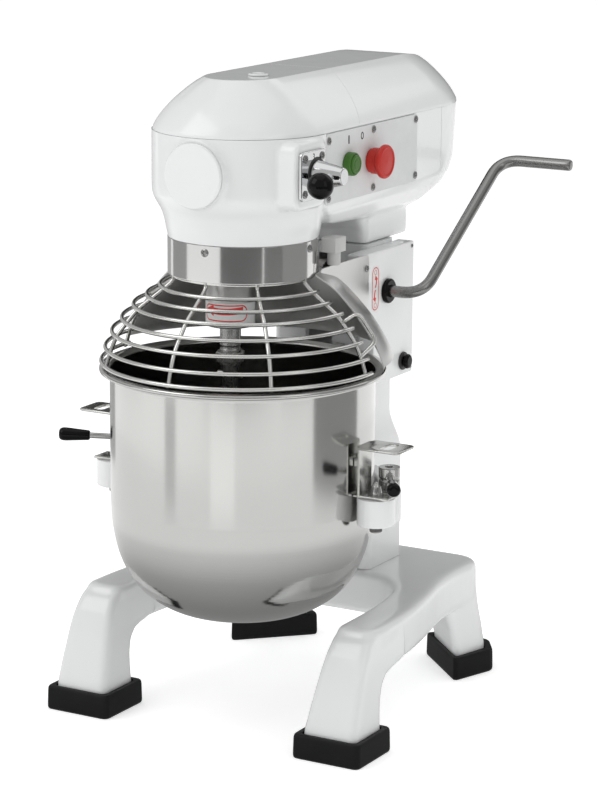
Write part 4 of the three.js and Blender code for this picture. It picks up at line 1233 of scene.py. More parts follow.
@dataclass
class Column:
    """Column with its rails, rear cover, gland and the lift cover on its right side."""

    half: float = 66.0
    front: float = 186.0
    back: float = 262.0
    base: float = 150.4
    top: float = 566.0
    cover_x: float = 87.0
    crank: Pair = CRANK_AXIS
    reset: Pair = (247.0, 412.0)
    label_at: Pair = (172.5, 516.0)

    def post(self) -> bpy.types.Object:
        """The column: rounded rectangles that step in above the pedestal, with its slot and bore."""
        z = np.concatenate([[self.base, 286], np.linspace(290, 350, 13), [self.top]])
        ease = np.clip((z - 290) / 58, 0, 1)
        ease = ease * ease * (3 - 2 * ease)
        wide, deep = self.half + 9 * (1 - ease), self.back + 15 * (1 - ease)
        loops = np.array([np.column_stack([
            round_rect((0, (self.front + d) / 2), (2 * w, d - self.front), 10.0, 9), np.full(36, h)])
            for h, w, d in zip(z, wide, deep)])
        post = solid("column_cast", shell(loops).outward())
        y, height = self.crank
        return carve(post, block((-50, 194.5, self.base - 2), (50, 250, 552)),
                     block((-19, 170, self.base - 2), (19, 200, 552)),
                     rod(11, (40, y, height), (80, y, height)))

    def lift_cover(self) -> bpy.types.Object:
        """The pressed cover over the crank and the reset switch."""
        outline = np.array([(170, 394), (274, 394), (274, 562), (138, 562), (138, 508), (156, 488),
                            (168, 466), (170, 452)], float)
        low = self.half + 0.4
        cover = plate(rounded(outline, 3.0, 5, closed=True), low - 3, self.cover_x, 1.6, Plane.SIDE)
        item = solid("lift_cover_pressing", cover)
        hollow = plate(inset(outline, 2.6), low - 6, self.cover_x - 2, 0.0, Plane.SIDE)
        (y, z), (reset_y, reset_z) = self.crank, self.reset
        return carve(item, block((40, 100, 380), (low, 300, 580)), hollow,
                     rod(12.4, (70, y, z), (100, y, z)), rod(6.4, (70, reset_y, reset_z), (100, reset_y, reset_z)))

    def label(self) -> list[Skin]:
        """Direction label beside the crank: a long red outline with an arrow up and down."""
        lay = on_side(self.cover_x)
        middle = np.array(self.label_at)
        t = np.linspace(-1, 1, 25)
        out = [stroke(round_rect(self.label_at, (17.0, 54), 8.3, 10), 1.2, lay)]
        for way in (1.0, -1.0):
            rise = np.linspace(0, 1, 13)
            swing = 2.3 * np.sin(np.pi * rise) * way
            half = np.where(rise < 0.62, 1.3, 4.4 * (1 - rise) / 0.38)
            flat = np.stack([middle[0] + swing, middle[1] + way * (1.5 + 15.5 * rise)], axis=1)
            strip = ribbon(flat[:, 1], flat[:, 0] - half, flat[:, 0] + half,
                           lambda f: lay(f[..., [1, 0, 2]]), proud=0.18)
            out.append(strip)
            dot = np.stack([np.cos(np.pi * t), np.sin(np.pi * t)], axis=1)[:-1]
            out.append(stroke(middle + [0.0, way * 20.6] + 3.2 * dot, 0.7, lay))
        return out

    def build(self) -> None:
        """Makes the column and everything on it."""
        fit(self.post(), FRAME_BODY, Kit.WHITE, ["column"])
        fit(self.lift_cover(), FRAME_BODY, Kit.WHITE, ["lift_cover"])
        y, z = self.crank
        x = self.cover_x
        bush = np.array([(7.7, 74), (12, 74), (12, x + 0.4), (15.5, x + 0.4), (15.5, x + 4.4),
                         (13.8, x + 6), (7.7, x + 6)])
        piece("crank_bush_ring", spun(rounded(bush, 0.8, 4, closed=True), Axis.X, (y, z), 64, closed=True),
              FRAME_BODY, Kit.BLACK, ["crank_bush"])
        ry, rz = self.reset
        socket = np.array([(6.5, x + 0.4), (11.5, x + 0.4), (11.5, x + 2.4), (10.6, x + 3), (6.5, x + 3)])
        piece("reset_socket_ring", spun(rounded(socket, 0.4, 4, closed=True), Axis.X, (ry, rz), 48, closed=True),
              FRAME_BODY, Kit.DARK, ["reset_socket"])
        button = rounded([(0, x - 8), (6, x - 8), (6, x + 6), (9.5, x + 6), (9.2, x + 8.6),
                          (7.2, x + 10.8), (0, x + 11)], 1.6, 5)
        piece("reset_button_cap", spun(button, Axis.X, (ry, rz), 48), "reset_push", Kit.BLACK, ["reset_button"])
        film = round_rect(self.label_at, (20.0, 58), 9.0, 10)
        piece("lift_label_film", plate(film, x - 0.05, x + 0.06, 0.0, Plane.SIDE), FRAME_BODY, Kit.FILM)
        piece("lift_label_print", self.label(), FRAME_BODY, Kit.RED_INK)
        rivets = [screw(2.6, 1.6, 32, 10).turned((1, 0, 0), (x, 268, height)) for height in (556, 401)]
        piece("lift_cover_screws", rivets, FRAME_BODY, Kit.SCREW)
        for side in ("right", "left"):
            refined(f"guide_rail_{side}", FRAME_BODY, Kit.PLATE, 0.8)
        refined("column_rear_cover", FRAME_BODY, Kit.WHITE, 0.5)
        corners = [(sx * 35, 265.4, 430 + sz * 68) for sx in (-1, 1) for sz in (-1, 1)]
        piece("rear_cover_screws", [screw(3.8, 2.2).turned((0, 1, 0), at) for at in corners], FRAME_BODY, Kit.SCREW)
        refined("cable_gland", FRAME_BODY, Kit.DARK, 0.6)
        refined("shield_bracket", FRAME_BODY, Kit.WHITE, 0.6)


# ------------------------------------------------------------------------- lift
@dataclass
class Lift:
    """Crank, and the toothed sector and rack that it works."""

    axis: Pair = CRANK_AXIS
    bar: float = 7.25
    arm_x: float = 137.0
    arm: float = 256.0
    rise: float = 33.7
    end: float = 236.0
    bend: float = 30.0

    def build(self) -> None:
        """Makes the bent crank bar and dresses the lift parts."""
        y, z = self.axis
        a = math.radians(self.rise)
        top = (self.arm_x, y + self.arm * math.cos(a), z + self.arm * math.sin(a))
        corners = np.array([(18, y, z), (self.arm_x, y, z), top, (self.end, top[1], top[2])])
        path = rounded(corners, self.bend, 18)
        straight = np.linspace(0, 1, 9)[1:-1, None]
        path = np.concatenate([path[:1], path[0] + (path[1] - path[0]) * straight, path[1:-1],
                               path[-2] + (path[-1] - path[-2]) * straight, path[-1:]])
        drop = np.array([0.0, 0.6, 1.6, 3.0])
        tip = path[-1] - np.array([1.0, 0, 0]) * drop[::-1, None]
        path = np.concatenate([path[:-1], tip])
        radius = np.full(len(path), self.bar)
        radius[-4:] = self.bar * np.array([1.0, 0.96, 0.86, 0.6])
        piece("crank_bar", swept(path, radius, 32), "lift_crank", Kit.SATIN, ["crank_handle"], 40.0)
        refined("lift_sector", "lift_crank", Kit.GEAR, 0.3, 1)
        refined("lift_rack", "bowl_carriage", Kit.GEAR, 0.3, 1)


# ------------------------------------------------------------------------- bowl carriage
@dataclass
class Carriage:
    """Yoke, locating pins, bowl, ears and clamps."""

    bowl_radius: float = 160.0
    wall: float = 1.6
    rim: float = 173.0
    rim_top: float = 443.0
    bottom: float = 134.0
    pin_x: float = 184.0
    yoke_top: float = 302.6
    yoke_under: float = 266.0
    post_x: float = 182.0
    post_y: float = 36.0
    turns: tuple[float, float] = (-58.5, -151.5)
    body: str = "bowl_carriage"

    def bowl(self) -> Skin:
        """The spun bowl: its outer meridian, the rolled rim and the inner meridian one wall inside."""
        low, r, w, top = self.bottom, self.bowl_radius, self.wall, self.rim_top
        stations = np.array([(0, 0), (40, 1.5), (78, 8), (108, 22), (132, 44), (149, 76), (157.5, 112), (r, 145)])
        curve = spline(stations, 64)
        curve[:, 0] = np.minimum(curve[:, 0], r)
        curve[:, 1] += low
        curve[0] = (0, low)
        inner = curve + w * normals(curve)
        inner[0, 0] = 0.0
        wall_out = np.column_stack([np.full(12, r), np.linspace(curve[-1, 1] + 8, top - 12, 12)])
        rim = rounded([(r, top - 9.5), (r + 1.2, top - 7), (self.rim - 4, top - 6.9), (self.rim, top - 5.5),
                       (self.rim - 0.4, top - 1.2), (self.rim - 4, top), (r + 4, top), (r - w, top - 4.0),
                       (r - w, top - 14)], 2.2, 6)
        wall_in = wall_out[::-1] - [w, 0]
        return spun(np.concatenate([curve, wall_out, rim, wall_in, inner[::-1]]), segments=192)

    def yoke(self) -> bpy.types.Object:
        """The cast yoke: a half ring with pin bosses, clamp posts and the slide block behind it."""
        plan = np.concatenate([polar(186.0, np.linspace(90, 270, 73)), polar(164.5, np.linspace(270, 90, 73))])
        shapes = [plate(plan, self.yoke_under + 3, self.yoke_top - 4, 3.0)]
        for side in (1, -1):
            shapes.append(rod(23, (side * self.pin_x, 0, 269), (side * self.pin_x, 0, self.yoke_top + 3), 64))
            shapes.append(rod(15, (side * self.post_x, self.post_y, 266),
                              (side * self.post_x, self.post_y, self.yoke_top + 3), 48))
        shapes += [block((-44, 160, 238), (44, 176, 344), 4), block((-22, 170, 238), (22, 185.4, 344), 2),
                   block((-16, 180, 242), (16, 246.5, 294), 2)]
        item = cast("yoke_cast", shapes, 1.9, 6)
        tools = [block((-260, -60, self.yoke_top), (260, 120, self.yoke_top + 12)),
                 rod(163.6, (0, 0, 200), (0, 0, 400), 160),
                 block((25.4, 177.4, 200), (38.6, 190, 400)), block((-38.6, 177.4, 200), (-25.4, 190, 400))]
        for side in (1, -1):
            tools.append(rod(7.4, (side * self.pin_x, 0, 250), (side * self.pin_x, 0, 320)))
            tools.append(rod(5.4, (side * self.post_x, self.post_y, 250), (side * self.post_x, self.post_y, 320)))
        return carve(item, *tools)

    def clamp(self, side: str, sign: int, turn: float) -> None:
        """Makes one clamp: turned block with its pivot and lever, and the tapered grip.

        Args:
            side: right or left.
            sign: 1 on the right, -1 on the left.
            turn: Direction of the lever in the plan, in degrees from +X.
        """
        body = f"clamp_{side}"
        x, y = sign * self.post_x, self.post_y
        way = np.array([math.cos(math.radians(turn)), math.sin(math.radians(turn))])

        def at(out: float, height: float) -> tuple[float, float, float]:
            """Point along the lever."""
            return (x + way[0] * out, y + way[1] * out, height)

        drum = rounded([(0, 262), (5, 262), (5, 303.4), (13, 303.4), (13, 316), (11.6, 318), (13, 320), (13, 332),
                        (4.5, 332), (4.5, 313), (0, 313)], 1.0, 4)
        item = fused(f"clamp_{side}_drum", spun(drum, Axis.Z, (x, y), 64),
                     rod(3.6, at(8, 322), at(54, 324), 32), rod(5.4, at(12, 322.2), at(17, 322.4), 6, 0.5))
        fit(item, body, Kit.CLAMP, [f"clamp_block_{side}"])
        grip = rounded([(0, 0), (5.0, 0), (6.2, 1.6), (7.0, 12), (8.4, 30), (8.2, 35.5), (5.6, 39), (0, 39)], 2.4, 6)
        piece(f"lever_{side}_grip", spun(grip, segments=48).turned((way[0], way[1], 2 / 45.5), at(53, 324)),
              body, Kit.BLACK, [f"lever_grip_{side}"])

    def build(self) -> None:
        """Makes the carriage."""
        piece("bowl_spinning", self.bowl(), self.body, Kit.BOWL, ["mixing_bowl"])
        fit(self.yoke(), self.body, Kit.WHITE, ["bowl_yoke"], 40.0)
        for side, sign, turn in (("right", 1, self.turns[0]), ("left", -1, self.turns[1])):
            pin = rounded([(0, 260), (7, 260), (7, 309), (5.6, 316), (2.4, 321), (0, 321)], 1.6, 5)
            piece(f"pin_{side}", spun(pin, Axis.Z, (sign * self.pin_x, 0), 48),
                  self.body, Kit.CLAMP, [f"locating_pin_{side}"])
            nut = [rod(8.6, (sign * self.pin_x, 0, 261.6), (sign * self.pin_x, 0, 267.0), 6, 0.6),
                   rod(10.4, (sign * self.pin_x, 0, 267.1), (sign * self.pin_x, 0, 268.8), 40, 0.3)]
            piece(f"pin_{side}_nut", nut, self.body, Kit.NUT)
            refined(f"bowl_ear_{side}", self.body, Kit.PLATE, 0.8, 3)
            rivet = [screw(3.4, 1.8, 32, 10).turned((0, 0, 1), (sign * 176, dy, 305.8)) for dy in (-11, 11)]
            piece(f"ear_{side}_rivets", rivet, self.body, Kit.SCREW)
            self.clamp(side, sign, turn)


# ------------------------------------------------------------------------- head
@dataclass
class Head:
    """Gearbox housing, covers, hub cap, collar and the drive inside."""

    radius: float = 109.0
    joint: float = 728.0
    top: float = 790.0
    side: float = 106.0
    rear: float = 306.0
    deep: float = 118.0
    seam: float = 88.0
    lean: float = 0.6
    squareness: float = 0.72
    seam_gap: float = 0.3
    hub: float = 685.0
    filler: Pair = (14.0, 10.0)
    voxel: float = 2.3
    dome: tuple[tuple[float, float, float], ...] = (
        (728.4, 107, 109), (734, 105.5, 107), (746, 97.5, 99), (760, 85, 87), (774, 69, 72), (783, 57, 61),
        (789, 47, 53), (790, 45, 51))
    lining: tuple[tuple[float, float, float], ...] = (
        (727, 103, 105), (734, 101, 103), (746, 93, 95), (760, 81, 83), (774, 65, 68), (784, 49, 53))

    def round_front(self) -> Skin:
        """The round front: its meridian turned about the bowl axis, carried past both joints."""
        lower = spline([(89, 596), (90.4, 603), (92.4, 612), (94.4, 622), (98, 633), (104.2, 643.5),
                        (107.8, 652), (109, 662)], 40)
        lower[:, 0] = np.minimum(lower[:, 0], self.radius)
        return spun(np.concatenate([[(0, 590), (89, 590)], lower, [(109, 700), (109, 742), (0, 742)]]), segments=160)

    def flank(self) -> Skin:
        """The flanks and rounded rear: plan half width x cos^p a and depth y + d sin a at each height."""
        table = np.array([(576, 60, 206, 292, 305), (600, 63, 196, 294, 308), (612, 84, 60, 292, 320),
                          (630, 100, 30, 300, 372), (644, 105, 10, 304, 396), (660, 106, 0, 306, 412),
                          (700, 106, 0, 306, 421), (728, 106, 0, 306, 424), (742, 106, 0, 306, 424)], float)
        z = np.concatenate([np.linspace(576, 664, 34), [680, 700, 716, 728, 742]])
        half, front, start, back = (np.interp(z, table[:, 0], table[:, k]) for k in (1, 2, 3, 4))
        a = np.linspace(0, np.pi / 2, 30)
        wide = np.cos(a) ** self.squareness
        wide[-1] = 0.0
        x = np.concatenate([half[:, None], half[:, None] * wide[None], -half[:, None] * wide[None, -2::-1],
                            -half[:, None]], axis=1)
        reach = start[:, None] + (back - start)[:, None] * np.sin(a)[None]
        y = np.concatenate([front[:, None], reach, reach[:, -2::-1], front[:, None]], axis=1)
        return shell(np.stack([x, y, np.broadcast_to(z[:, None], x.shape)], axis=-1))

    def neck(self) -> Skin:
        """The foot of the head that stands on the column."""
        loops = [np.column_stack([round_rect((0, (y0 + y1) / 2), (2 * x, y1 - y0), 10.0), np.full(28, z)])
                 for z, x, y0, y1 in ((566.4, 62, 190, 306), (584, 62, 190, 308), (606, 60, 176, 309))]
        return shell(np.array(loops))

    def housing(self) -> bpy.types.Object:
        """The cast housing with its joints, recess, bores and hollow cut after the fillets are made."""
        boss = plate(round_rect((-33.5, 685), (70, 80), 12.0), 0, 112, 4.0, Plane.SIDE)
        hub = spun([(0, -126), (38.6, -126), (39.0, -112), (41, -60), (0, -60)], Axis.Y, (0, self.hub), 96)
        item = cast("housing_cast", [self.round_front(), self.flank(), self.neck(), boss, hub], self.voxel, 7)
        groove = block((self.side - 0.8, self.rear, 642), (120, self.rear + 1, 760))
        tools = [block((-200, -200, self.joint), (200, 500, 800)), block((-100, -140, 600), (100, -112, 760)),
                 rod(96, (0, 0, 560), (0, 0, 601), 128),
                 spun([(0, 612), (72, 612), (80, 650), (80, 760), (0, 760)], segments=96),
                 block((-84, 60, 644), (84, 300, 760)), block((-60, 290, 644), (60, 374, 760)),
                 rod(20, (0, 0, 560), (0, 0, 700)),
                 rod(12, (60, *Controls.start), (120, *Controls.start)),
                 rod(12, (60, *Controls.stop), (120, *Controls.stop)), groove, groove.mirrored(),
                 block((self.side + 0.1, 5.4, 642.8), (120, 237, 760)),
                 rod(9, (100, *Controls.speed), (125, *Controls.speed))]
        return carve(item, *tools)

    def seam_at(self, z: Points) -> Points:
        """Y of the slanted joint between the covers at a height."""
        return self.seam + self.lean * (z - self.joint)

    def smooth(self, table: tuple[tuple[float, float, float], ...], count: int = 44) -> Points:
        """The cover's section table as a fine curve, with its last step kept sharp."""
        return np.concatenate([spline(np.asarray(table[:-1], float), count), [table[-1]]])

    def front_dome(self, table: tuple[tuple[float, float, float], ...], lead: float) -> Skin:
        """Front cover: half ellipses closed by straight sides back to the slanted joint."""
        section = self.smooth(table)
        a = np.pi * (1 + np.linspace(0, 1, 73))
        z, half, reach = section.T
        x = np.concatenate([half[:, None] * np.cos(a), half[:, None], -half[:, None]], axis=1)
        end = (self.seam_at(z) + lead)[:, None]
        y = np.concatenate([reach[:, None] * np.sin(a), end, end], axis=1)
        return shell(np.stack([x, y, np.broadcast_to(z[:, None], x.shape)], axis=-1)).outward()

    def rear_dome(self, table: tuple[tuple[float, float, float], ...], deep: float, lead: float) -> Skin:
        """Motor cover: the arched section carried back, then scaled by cos^p a at a depth of d sin a."""
        section = self.smooth(table)
        z, half = section[:, 0], section[:, 1]
        base = table[0][0]
        arch_x = np.concatenate([half, -half[::-1]])
        arch_z = np.concatenate([z, z[::-1]])
        a = np.linspace(0, np.radians(89.0), 40)
        scale = np.concatenate([[1.0, 1.0], np.cos(a[1:]) ** self.squareness])
        place = np.concatenate([[0.0, self.rear], self.rear + deep * np.sin(a[1:])])
        x = scale[:, None] * arch_x
        height = base + scale[:, None] * (arch_z - base)
        y = np.broadcast_to(place[:, None], x.shape).copy()
        y[0] = self.seam_at(arch_z) + lead
        return shell(np.stack([x, y, height], axis=-1)).outward()

    def covers(self) -> None:
        """Makes the two top covers, the plug and the hub cap."""
        front = solid("front_cover_cast", self.front_dome(self.dome, -self.seam_gap))
        carve(front, self.front_dome(self.lining, 20.0), rod(9.2, (*self.filler, 770), (*self.filler, 800)))
        fit(front, FRAME_BODY, Kit.WHITE, ["top_cover_front"], 25.0)
        rear = solid("motor_cover_cast", self.rear_dome(self.dome, self.deep, self.seam_gap))
        carve(rear, self.rear_dome(self.lining, self.deep - 6, -20.0))
        fit(rear, FRAME_BODY, Kit.WHITE, ["motor_cover"], 25.0)
        plug = rounded([(0, 782), (8.6, 782), (8.6, 790.4), (12, 790.4), (12, 792.2), (11, 793),
                        (7.6, 793), (7.2, 792.2), (0, 792.2)], 0.5, 4)
        piece("filler_cap", spun(plug, Axis.Z, self.filler, 64), FRAME_BODY, Kit.WHITE, ["filler_plug"])
        cap = rounded([(0, -112.4), (38.4, -112.4), (38.4, -115.2), (37.2, -116.5), (0, -116.5)], 0.9, 5)
        piece("hub_cap", spun(cap, Axis.Y, (0, self.hub), 128), FRAME_BODY, Kit.WHITE, ["attachment_hub_cap"])

    def collar(self) -> None:
        """Makes the polished collar and its four screws."""
        band = rounded([(88.5, 556.6), (90.5, 556.6), (90.5, 600.6), (88.5, 600.6)], 0.5, 4, closed=True)
        piece("collar_ring", spun(band, segments=192, closed=True), FRAME_BODY, Kit.COLLAR, ["collar_band"])
        heads = [screw(4.8, 2.2).turned((*polar(1.0, a), 0), (*polar(90.3, a), 592)) for a in (1, 91, 181, 271)]
        piece("collar_screws", heads, FRAME_BODY, Kit.SCREW)

    def build(self) -> None:
        """Makes the head."""
        fit(self.housing(), FRAME_BODY, Kit.WHITE, ["gearbox_housing"], 40.0)
        self.covers()
        self.collar()
        for node, kit in {"bearing_flange": Kit.IRON, "ring_gear": Kit.GEAR, "motor_body": Kit.IRON,
                          "motor_fan_cowl": Kit.DARK, "motor_fan": Kit.DARK, "motor_shaft": Kit.GEAR,
                          "main_shaft": Kit.GEAR, "drive_gear": Kit.BRONZE, "countershaft": Kit.GEAR,
                          "planet_pinion": Kit.GEAR, "planet_seal": Kit.DARK}.items():
            dress(node, kit)


# ------------------------------------------------------------------------- controls
@dataclass
class Controls:
    """Side panel with its buttons, and the speed selector."""

    face: float = 108.8
    start: Pair = (59.0, 687.0)
    stop: Pair = (116.0, 684.0)
    speed: Pair = (-30.0, 686.0)

    def numeral(self, text: str, at: tuple[float, float, float], size: float, kit: Kit, name: str) -> None:
        """Stands a figure on a face square to X.

        Args:
            text: The figure.
            at: The middle of the figure, in machine millimetres.
            size: Its height.
            kit: Its ink.
            name: Object name.
        """
        font = bpy.data.curves.new(name, "FONT")
        font.body, font.size, font.extrude = text, size * 1.35, 0.1
        font.align_x, font.align_y = "CENTER", "CENTER"
        flat = to_object(name, font)
        bpy.context.view_layer.update()
        mesh = bpy.data.meshes.new_from_object(flat.evaluated_get(bpy.context.evaluated_depsgraph_get()))
        bpy.data.objects.remove(flat)
        co = np.empty(len(mesh.vertices) * 3, np.float32)
        mesh.vertices.foreach_get("co", co)
        co = co.reshape(-1, 3)[:, [2, 0, 1]].astype(float) + at
        mesh.vertices.foreach_set("co", ((co + ORIGIN) * MILLI).astype(np.float32).ravel())
        mesh.update()
        fit(to_object(name, mesh), FRAME_BODY, kit)

    def panel(self) -> None:
        """Makes the panel, its screws and its two marks."""
        sheet = plate(round_rect((121, 685.4), (230, 84), 5.0), 106.4, self.face, 0.5, Plane.SIDE)
        item = solid("panel_sheet", sheet)
        carve(item, *(rod(12, (100, y, z), (112, y, z)) for y, z in (self.start, self.stop)))
        fit(item, FRAME_BODY, Kit.PANEL, ["control_panel"])
        places = [(y, z) for y, high, low in ((12, 719, 651), (122, 721, 651), (231, 721, 652)) for z in (high, low)]
        piece("panel_screws", [screw(4.6, 2.2).turned((1, 0, 0), (self.face, y, z)) for y, z in places],
              FRAME_BODY, Kit.SCREW)
        lay = on_side(self.face)
        bar = round_rect((60.5, 715.5), (2.6, 10.0), 0.4, 4)
        piece("mark_on", plate(bar, self.face - 0.05, self.face + 0.25, 0.0, Plane.SIDE), FRAME_BODY, Kit.BLACK_INK)
        turn = np.linspace(0, 2 * np.pi, 49)[:-1]
        ring = np.stack([93.5 + 3.4 * np.cos(turn), 716.5 + 4.6 * np.sin(turn)], axis=1)
        piece("mark_off", stroke(ring, 1.5, lay), FRAME_BODY, Kit.BLACK_INK)

    def buttons(self) -> None:
        """Makes the start button, the stop head and their bezels."""
        y, z = self.start
        cap = rounded([(0, 86), (9, 86), (9, 104), (11.4, 104), (11.4, 120.3), (10.3, 121.5),
                       (8.6, 121.5), (8.2, 120.9), (6.2, 120.9), (5.8, 121.5), (0, 121.5)], 0.5, 4)
        piece("start_cap", spun(cap, Axis.X, (y, z), 64), "start_push", Kit.GREEN, ["start_button"])
        ring = rounded([(11.8, 109.2), (14, 109.2), (14, 117.4), (12.9, 119), (11.8, 119)], 0.5, 4, closed=True)
        piece("start_ring", spun(ring, Axis.X, (y, z), 64, closed=True), FRAME_BODY, Kit.GREEN, ["start_bezel"])
        y, z = self.stop
        head = rounded([(0, 86), (11.4, 86), (11.4, 119.4), (14.9, 119.4), (14.9, 112.6), (15.8, 112.6), (15.8, 121),
                        (17.2, 122.6), (20.5, 126), (20.5, 129.4), (19.0, 131.4), (16.8, 131.8), (16.0, 130.6),
                        (11.0, 131.2), (0, 132.0)], 0.9, 5)
        piece("stop_head", spun(head, Axis.X, (y, z), 80), "stop_push", Kit.RED, ["stop_button"])
        base = rounded([(11.8, 109.2), (14.5, 109.2), (14.5, 114), (13.6, 115), (11.8, 115)], 0.5, 4, closed=True)
        piece("stop_ring", spun(base, Axis.X, (y, z), 64, closed=True), FRAME_BODY, Kit.RED, ["stop_bezel"])

    def selector(self) -> None:
        """Makes the speed plate, its screws and figure, the lever and its knob."""
        y, z = self.speed
        middle = y - 7.0
        sheet = plate(round_rect((middle, z), (56, 57), 5.0), 112.4, 116.4, 1.0, Plane.SIDE)
        item = solid("speed_sheet", sheet)
        carve(item, rod(9, (108, y, z), (120, y, z)))
        fit(item, FRAME_BODY, Kit.CHROME, ["speed_plate"])
        heads = [screw(4.8, 2.2).turned((1, 0, 0), (116.4, middle + sy * 19.5, z + sz * 20.5))
                 for sy in (-1, 1) for sz in (-1, 1)]
        piece("speed_screws", heads, FRAME_BODY, Kit.SCREW)
        self.numeral("3", (116.45, middle, z + 21), 8.0, Kit.BLACK_INK, "speed_figure")
        # Painted shade: a dark disc laid on the plate round the lever hub, standing for the shadow and dark reflection
        # beside the lever barrel.
        disc = rounded([(9.4, 116.2), (20.5, 116.2), (20.5, 116.8), (9.4, 116.8)], 0.2, 3, closed=True)
        piece("speed_hub_painted_shade", spun(disc, Axis.X, (y, z), 64, closed=True), FRAME_BODY, Kit.DARK)
        hub = rounded([(0, 104), (8.4, 104), (8.4, 117), (16.8, 117), (17, 119), (15.4, 128), (12.6, 142), (10.2, 152),
                       (9.4, 153), (0, 153)], 1.4, 6)
        lever = fused("speed_lever_forged", spun(hub, Axis.X, (y, z), 80), rod(5.5, (138, y, z), (144, -62, 681.7), 40))
        fit(lever, "speed_selector", Kit.CHROME, ["speed_lever"])
        turn = np.linspace(0, np.pi, 40)
        ball = np.stack([15.5 * np.sin(turn), -15.5 * np.cos(turn)], axis=1)
        ball[[0, -1], 0] = 0.0
        way = np.array([0.3, -12, -1.7])
        knob = spun(ball, segments=64).turned(way, (145, -72, 680))
        piece("speed_ball", knob, "speed_selector", Kit.BLACK, ["speed_knob"])

    def build(self) -> None:
        """Makes the controls."""
        self.panel()
        self.buttons()
        self.selector()


# ------------------------------------------------------------------------- shield and guard
@dataclass
class Guard:
    """Fixed splash shield behind the bowl and the wire guard that swings in front."""

    wire: float = 2.5
    sheet: float = 1.5
    wing_x: float = 88.0
    rings: tuple[Pair, ...] = ((99, 541), (115, 529), (131, 517), (145, 501), (157, 485), (165, 466), (170, 449))
    skirt: tuple[Pair, ...] = ((92.6, 560), (98, 556), (118, 543.5), (140, 521), (159, 497), (174, 472), (181, 455))
    ribs: tuple[float, ...] = (-90, -45, 0, 42, 90)
    body: str = "bowl_guard"

    def cone(self) -> Skin:
        """The shield: its meridian and the same moved in by the sheet, swept over the rear."""
        outer = spline(self.skirt, 40)
        inner = outer - self.sheet * normals(outer)
        ring = np.concatenate([outer, inner[::-1]])
        turn = np.linspace(98, 262, 121)
        plan = polar(ring[None, :, 0], turn[:, None])
        loops = np.concatenate([plan, np.broadcast_to(ring[None, :, 1:], (*plan.shape[:2], 1))], axis=-1)
        return shell(loops).outward()

    def shield(self) -> bpy.types.Object:
        """The cone with its two side sheets, each trimmed where the cone passes through it."""
        right = np.array([(30, 563), (150, 563), (150, 500), (138, 486), (30, 486)], float)
        left = np.array([(30, 563), (214, 563), (214, 520), (150, 500), (138, 486), (30, 486)], float)
        outer = spline(self.skirt, 40) - [0.5, 0.4]
        room = spun(np.concatenate([[(0, 430), (181, 430)], outer[::-1], [(91.5, 600), (0, 600)]]), segments=160)
        item = solid("shield_pressing", self.cone())
        thick = self.sheet + 0.4
        for outline, low in ((right, self.wing_x), (left, -self.wing_x - thick)):
            edge = rounded(outline, 5.0, 5, closed=True)
            wing = carve(solid("wing", plate(edge, low, low + thick, 0.3, Plane.SIDE)), room)
            combine(item, wing, Cut.TOGETHER)
        return item

    def cage(self) -> list[Skin]:
        """The guard's level hoops, ribs, hand loop and top ring."""
        parts = [swept(arc(r, z, -94, 94, 97), self.wire, 14) for r, z in self.rings]
        tips = [(85, 562), (85, 552), (88, 547), *((r - 2.6, z - 1.2) for r, z in self.rings)]
        rib = spline(tips, 60)
        for angle in self.ribs:
            parts.append(swept(np.column_stack([polar(rib[:, 0], angle), rib[:, 1]]), self.wire, 14))
        loop = np.array([(*polar(136, 90), 508), (*polar(154, 92), 522), (*polar(175, 95), 488),
                         (*polar(161, 90), 470)])
        parts.append(swept(rounded(loop, 11.0, 12), self.wire, 14))
        band = rounded([(82, 553), (86.5, 553), (86.5, 566), (82, 566)], 1.0, 4, closed=True)
        parts.append(spun(band, closed=True))
        return parts

    def beads(self) -> list[Skin]:
        """Weld beads where hoops and ribs cross, as small flattened balls."""
        turn = np.linspace(0, np.pi, 7)
        profile = np.stack([3.1 * np.sin(turn), -2.9 * np.cos(turn)], axis=1)
        profile[[0, -1], 0] = 0.0
        ball = spun(profile, segments=12)
        return [ball.moved((*polar(r - 1.4, a), z - 0.8)) for r, z in self.rings for a in self.ribs]

    def build(self) -> None:
        """Makes the shield and the guard."""
        fit(self.shield(), FRAME_BODY, Kit.SHEET, ["splash_shield"])
        piece("guard_cage", self.cage(), self.body, Kit.WIRE, ["wire_guard"])
        piece("guard_welds", self.beads(), self.body, Kit.WIRE)
        refined("guard_switch", FRAME_BODY, Kit.SWITCH, 1.2, 3)
        head = screw().turned((1, 0, 0), (self.wing_x + 1.9, 144, 546))
        piece("shield_screws", head, FRAME_BODY, Kit.SCREW)


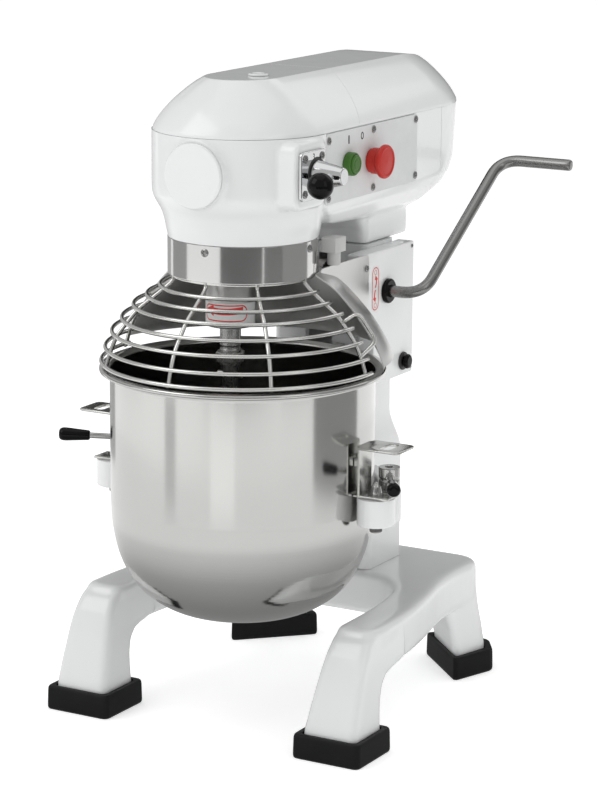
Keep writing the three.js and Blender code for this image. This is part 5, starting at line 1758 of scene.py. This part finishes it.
# ------------------------------------------------------------------------- planetary
@dataclass
class Planetary:
    """Planet carrier with its nose, direction label and the beater shaft."""

    offset: float = 45.0
    turn: float = -78.5
    nose: float = 29.5
    label_faces: float = 24.0

    @property
    def seat(self) -> Pair:
        """Plan position of the beater shaft."""
        angle = math.radians(self.turn)
        return (self.offset * math.cos(angle), self.offset * math.sin(angle))

    def label(self) -> list[Skin]:
        """Direction arrow in a rounded outline on the nose."""
        lay = bend_round(self.seat, self.nose, self.label_faces)
        outline = round_rect((-4, 518.6), (58, 20.0), 8.0, 12)
        dense = rounded(outline, 0.01, 2, closed=True)
        long = np.linspace(-31, 19, 60)
        head = long < -18
        half = np.where(head, 6.8 * (long + 31) / 13, 4.0)
        middle = 520.6 + 0.003 * (long + 6) ** 2
        return [stroke(densify(dense, 1.5), 1.5, lay), ribbon(long, middle - half, middle + half, lay, 0.18, 3)]

    def build(self) -> None:
        """Makes the planetary drive below the head."""
        seat = self.seat
        disc = rounded([(0, 551), (76, 551), (77, 552), (77, 570), (18, 570), (18, 600), (11.4, 600),
                        (11.4, 585), (0, 585)], 0.8, 4)
        nose = rounded([(0, 500), (self.nose - 1.3, 500), (self.nose, 501.4), (self.nose, 552), (0, 552)], 0.9, 5)
        bore = [(0, 480), (20, 480), (20, 516), (13.4, 516), (13.4, 571), (0, 571)]
        item = fused("carrier_turned", spun(disc, segments=128), spun(nose, Axis.Z, seat, 96))
        carve(item, spun(bore, Axis.Z, seat, 64))
        fit(item, "planetary", Kit.NOSE, ["planet_carrier"])
        lay = bend_round(seat, self.nose, self.label_faces)
        around = np.linspace(-44, 44, 90)
        piece("nose_film", ribbon(around, np.full(90, 502.2), np.full(90, 530.0), lay, 0.08, 2), "planetary", Kit.FILM)
        piece("nose_arrow", self.label(), "planetary", Kit.RED_INK)
        shaft = rounded([(0, 424), (8, 424), (9, 426), (9, 452), (12.6, 452), (12.6, 471), (11.9, 472), (11.9, 475),
                         (12.6, 476), (12.6, 571), (7, 571), (7, 586), (0, 586)], 0.7, 4)
        collar = spun([(0, 456), (17, 456), (18, 457.4), (18, 466.6), (17, 468), (0, 468)], Axis.Z, seat, 8)
        stem = fused("shaft_turned", spun(shaft, Axis.Z, seat, 64), collar,
                     rod(3.4, (seat[0] - 17, seat[1], 440), (seat[0] + 17, seat[1], 440), 32, 0.5))
        fit(stem, "beater_drive", Kit.SHAFT, ["beater_shaft"])


def main() -> None:
    """Builds the camera and studio, then the machine from the floor up."""
    logging.basicConfig(level=logging.INFO, format="%(message)s")
    studio = Studio()
    studio.camera()
    studio.build()
    for part in (Base(), Column(), Lift(), Carriage(), Head(), Controls(), Guard(), Planetary()):
        LOG.info("building %s", type(part).__name__)
        part.build()


if __name__ == "__main__":
    main()
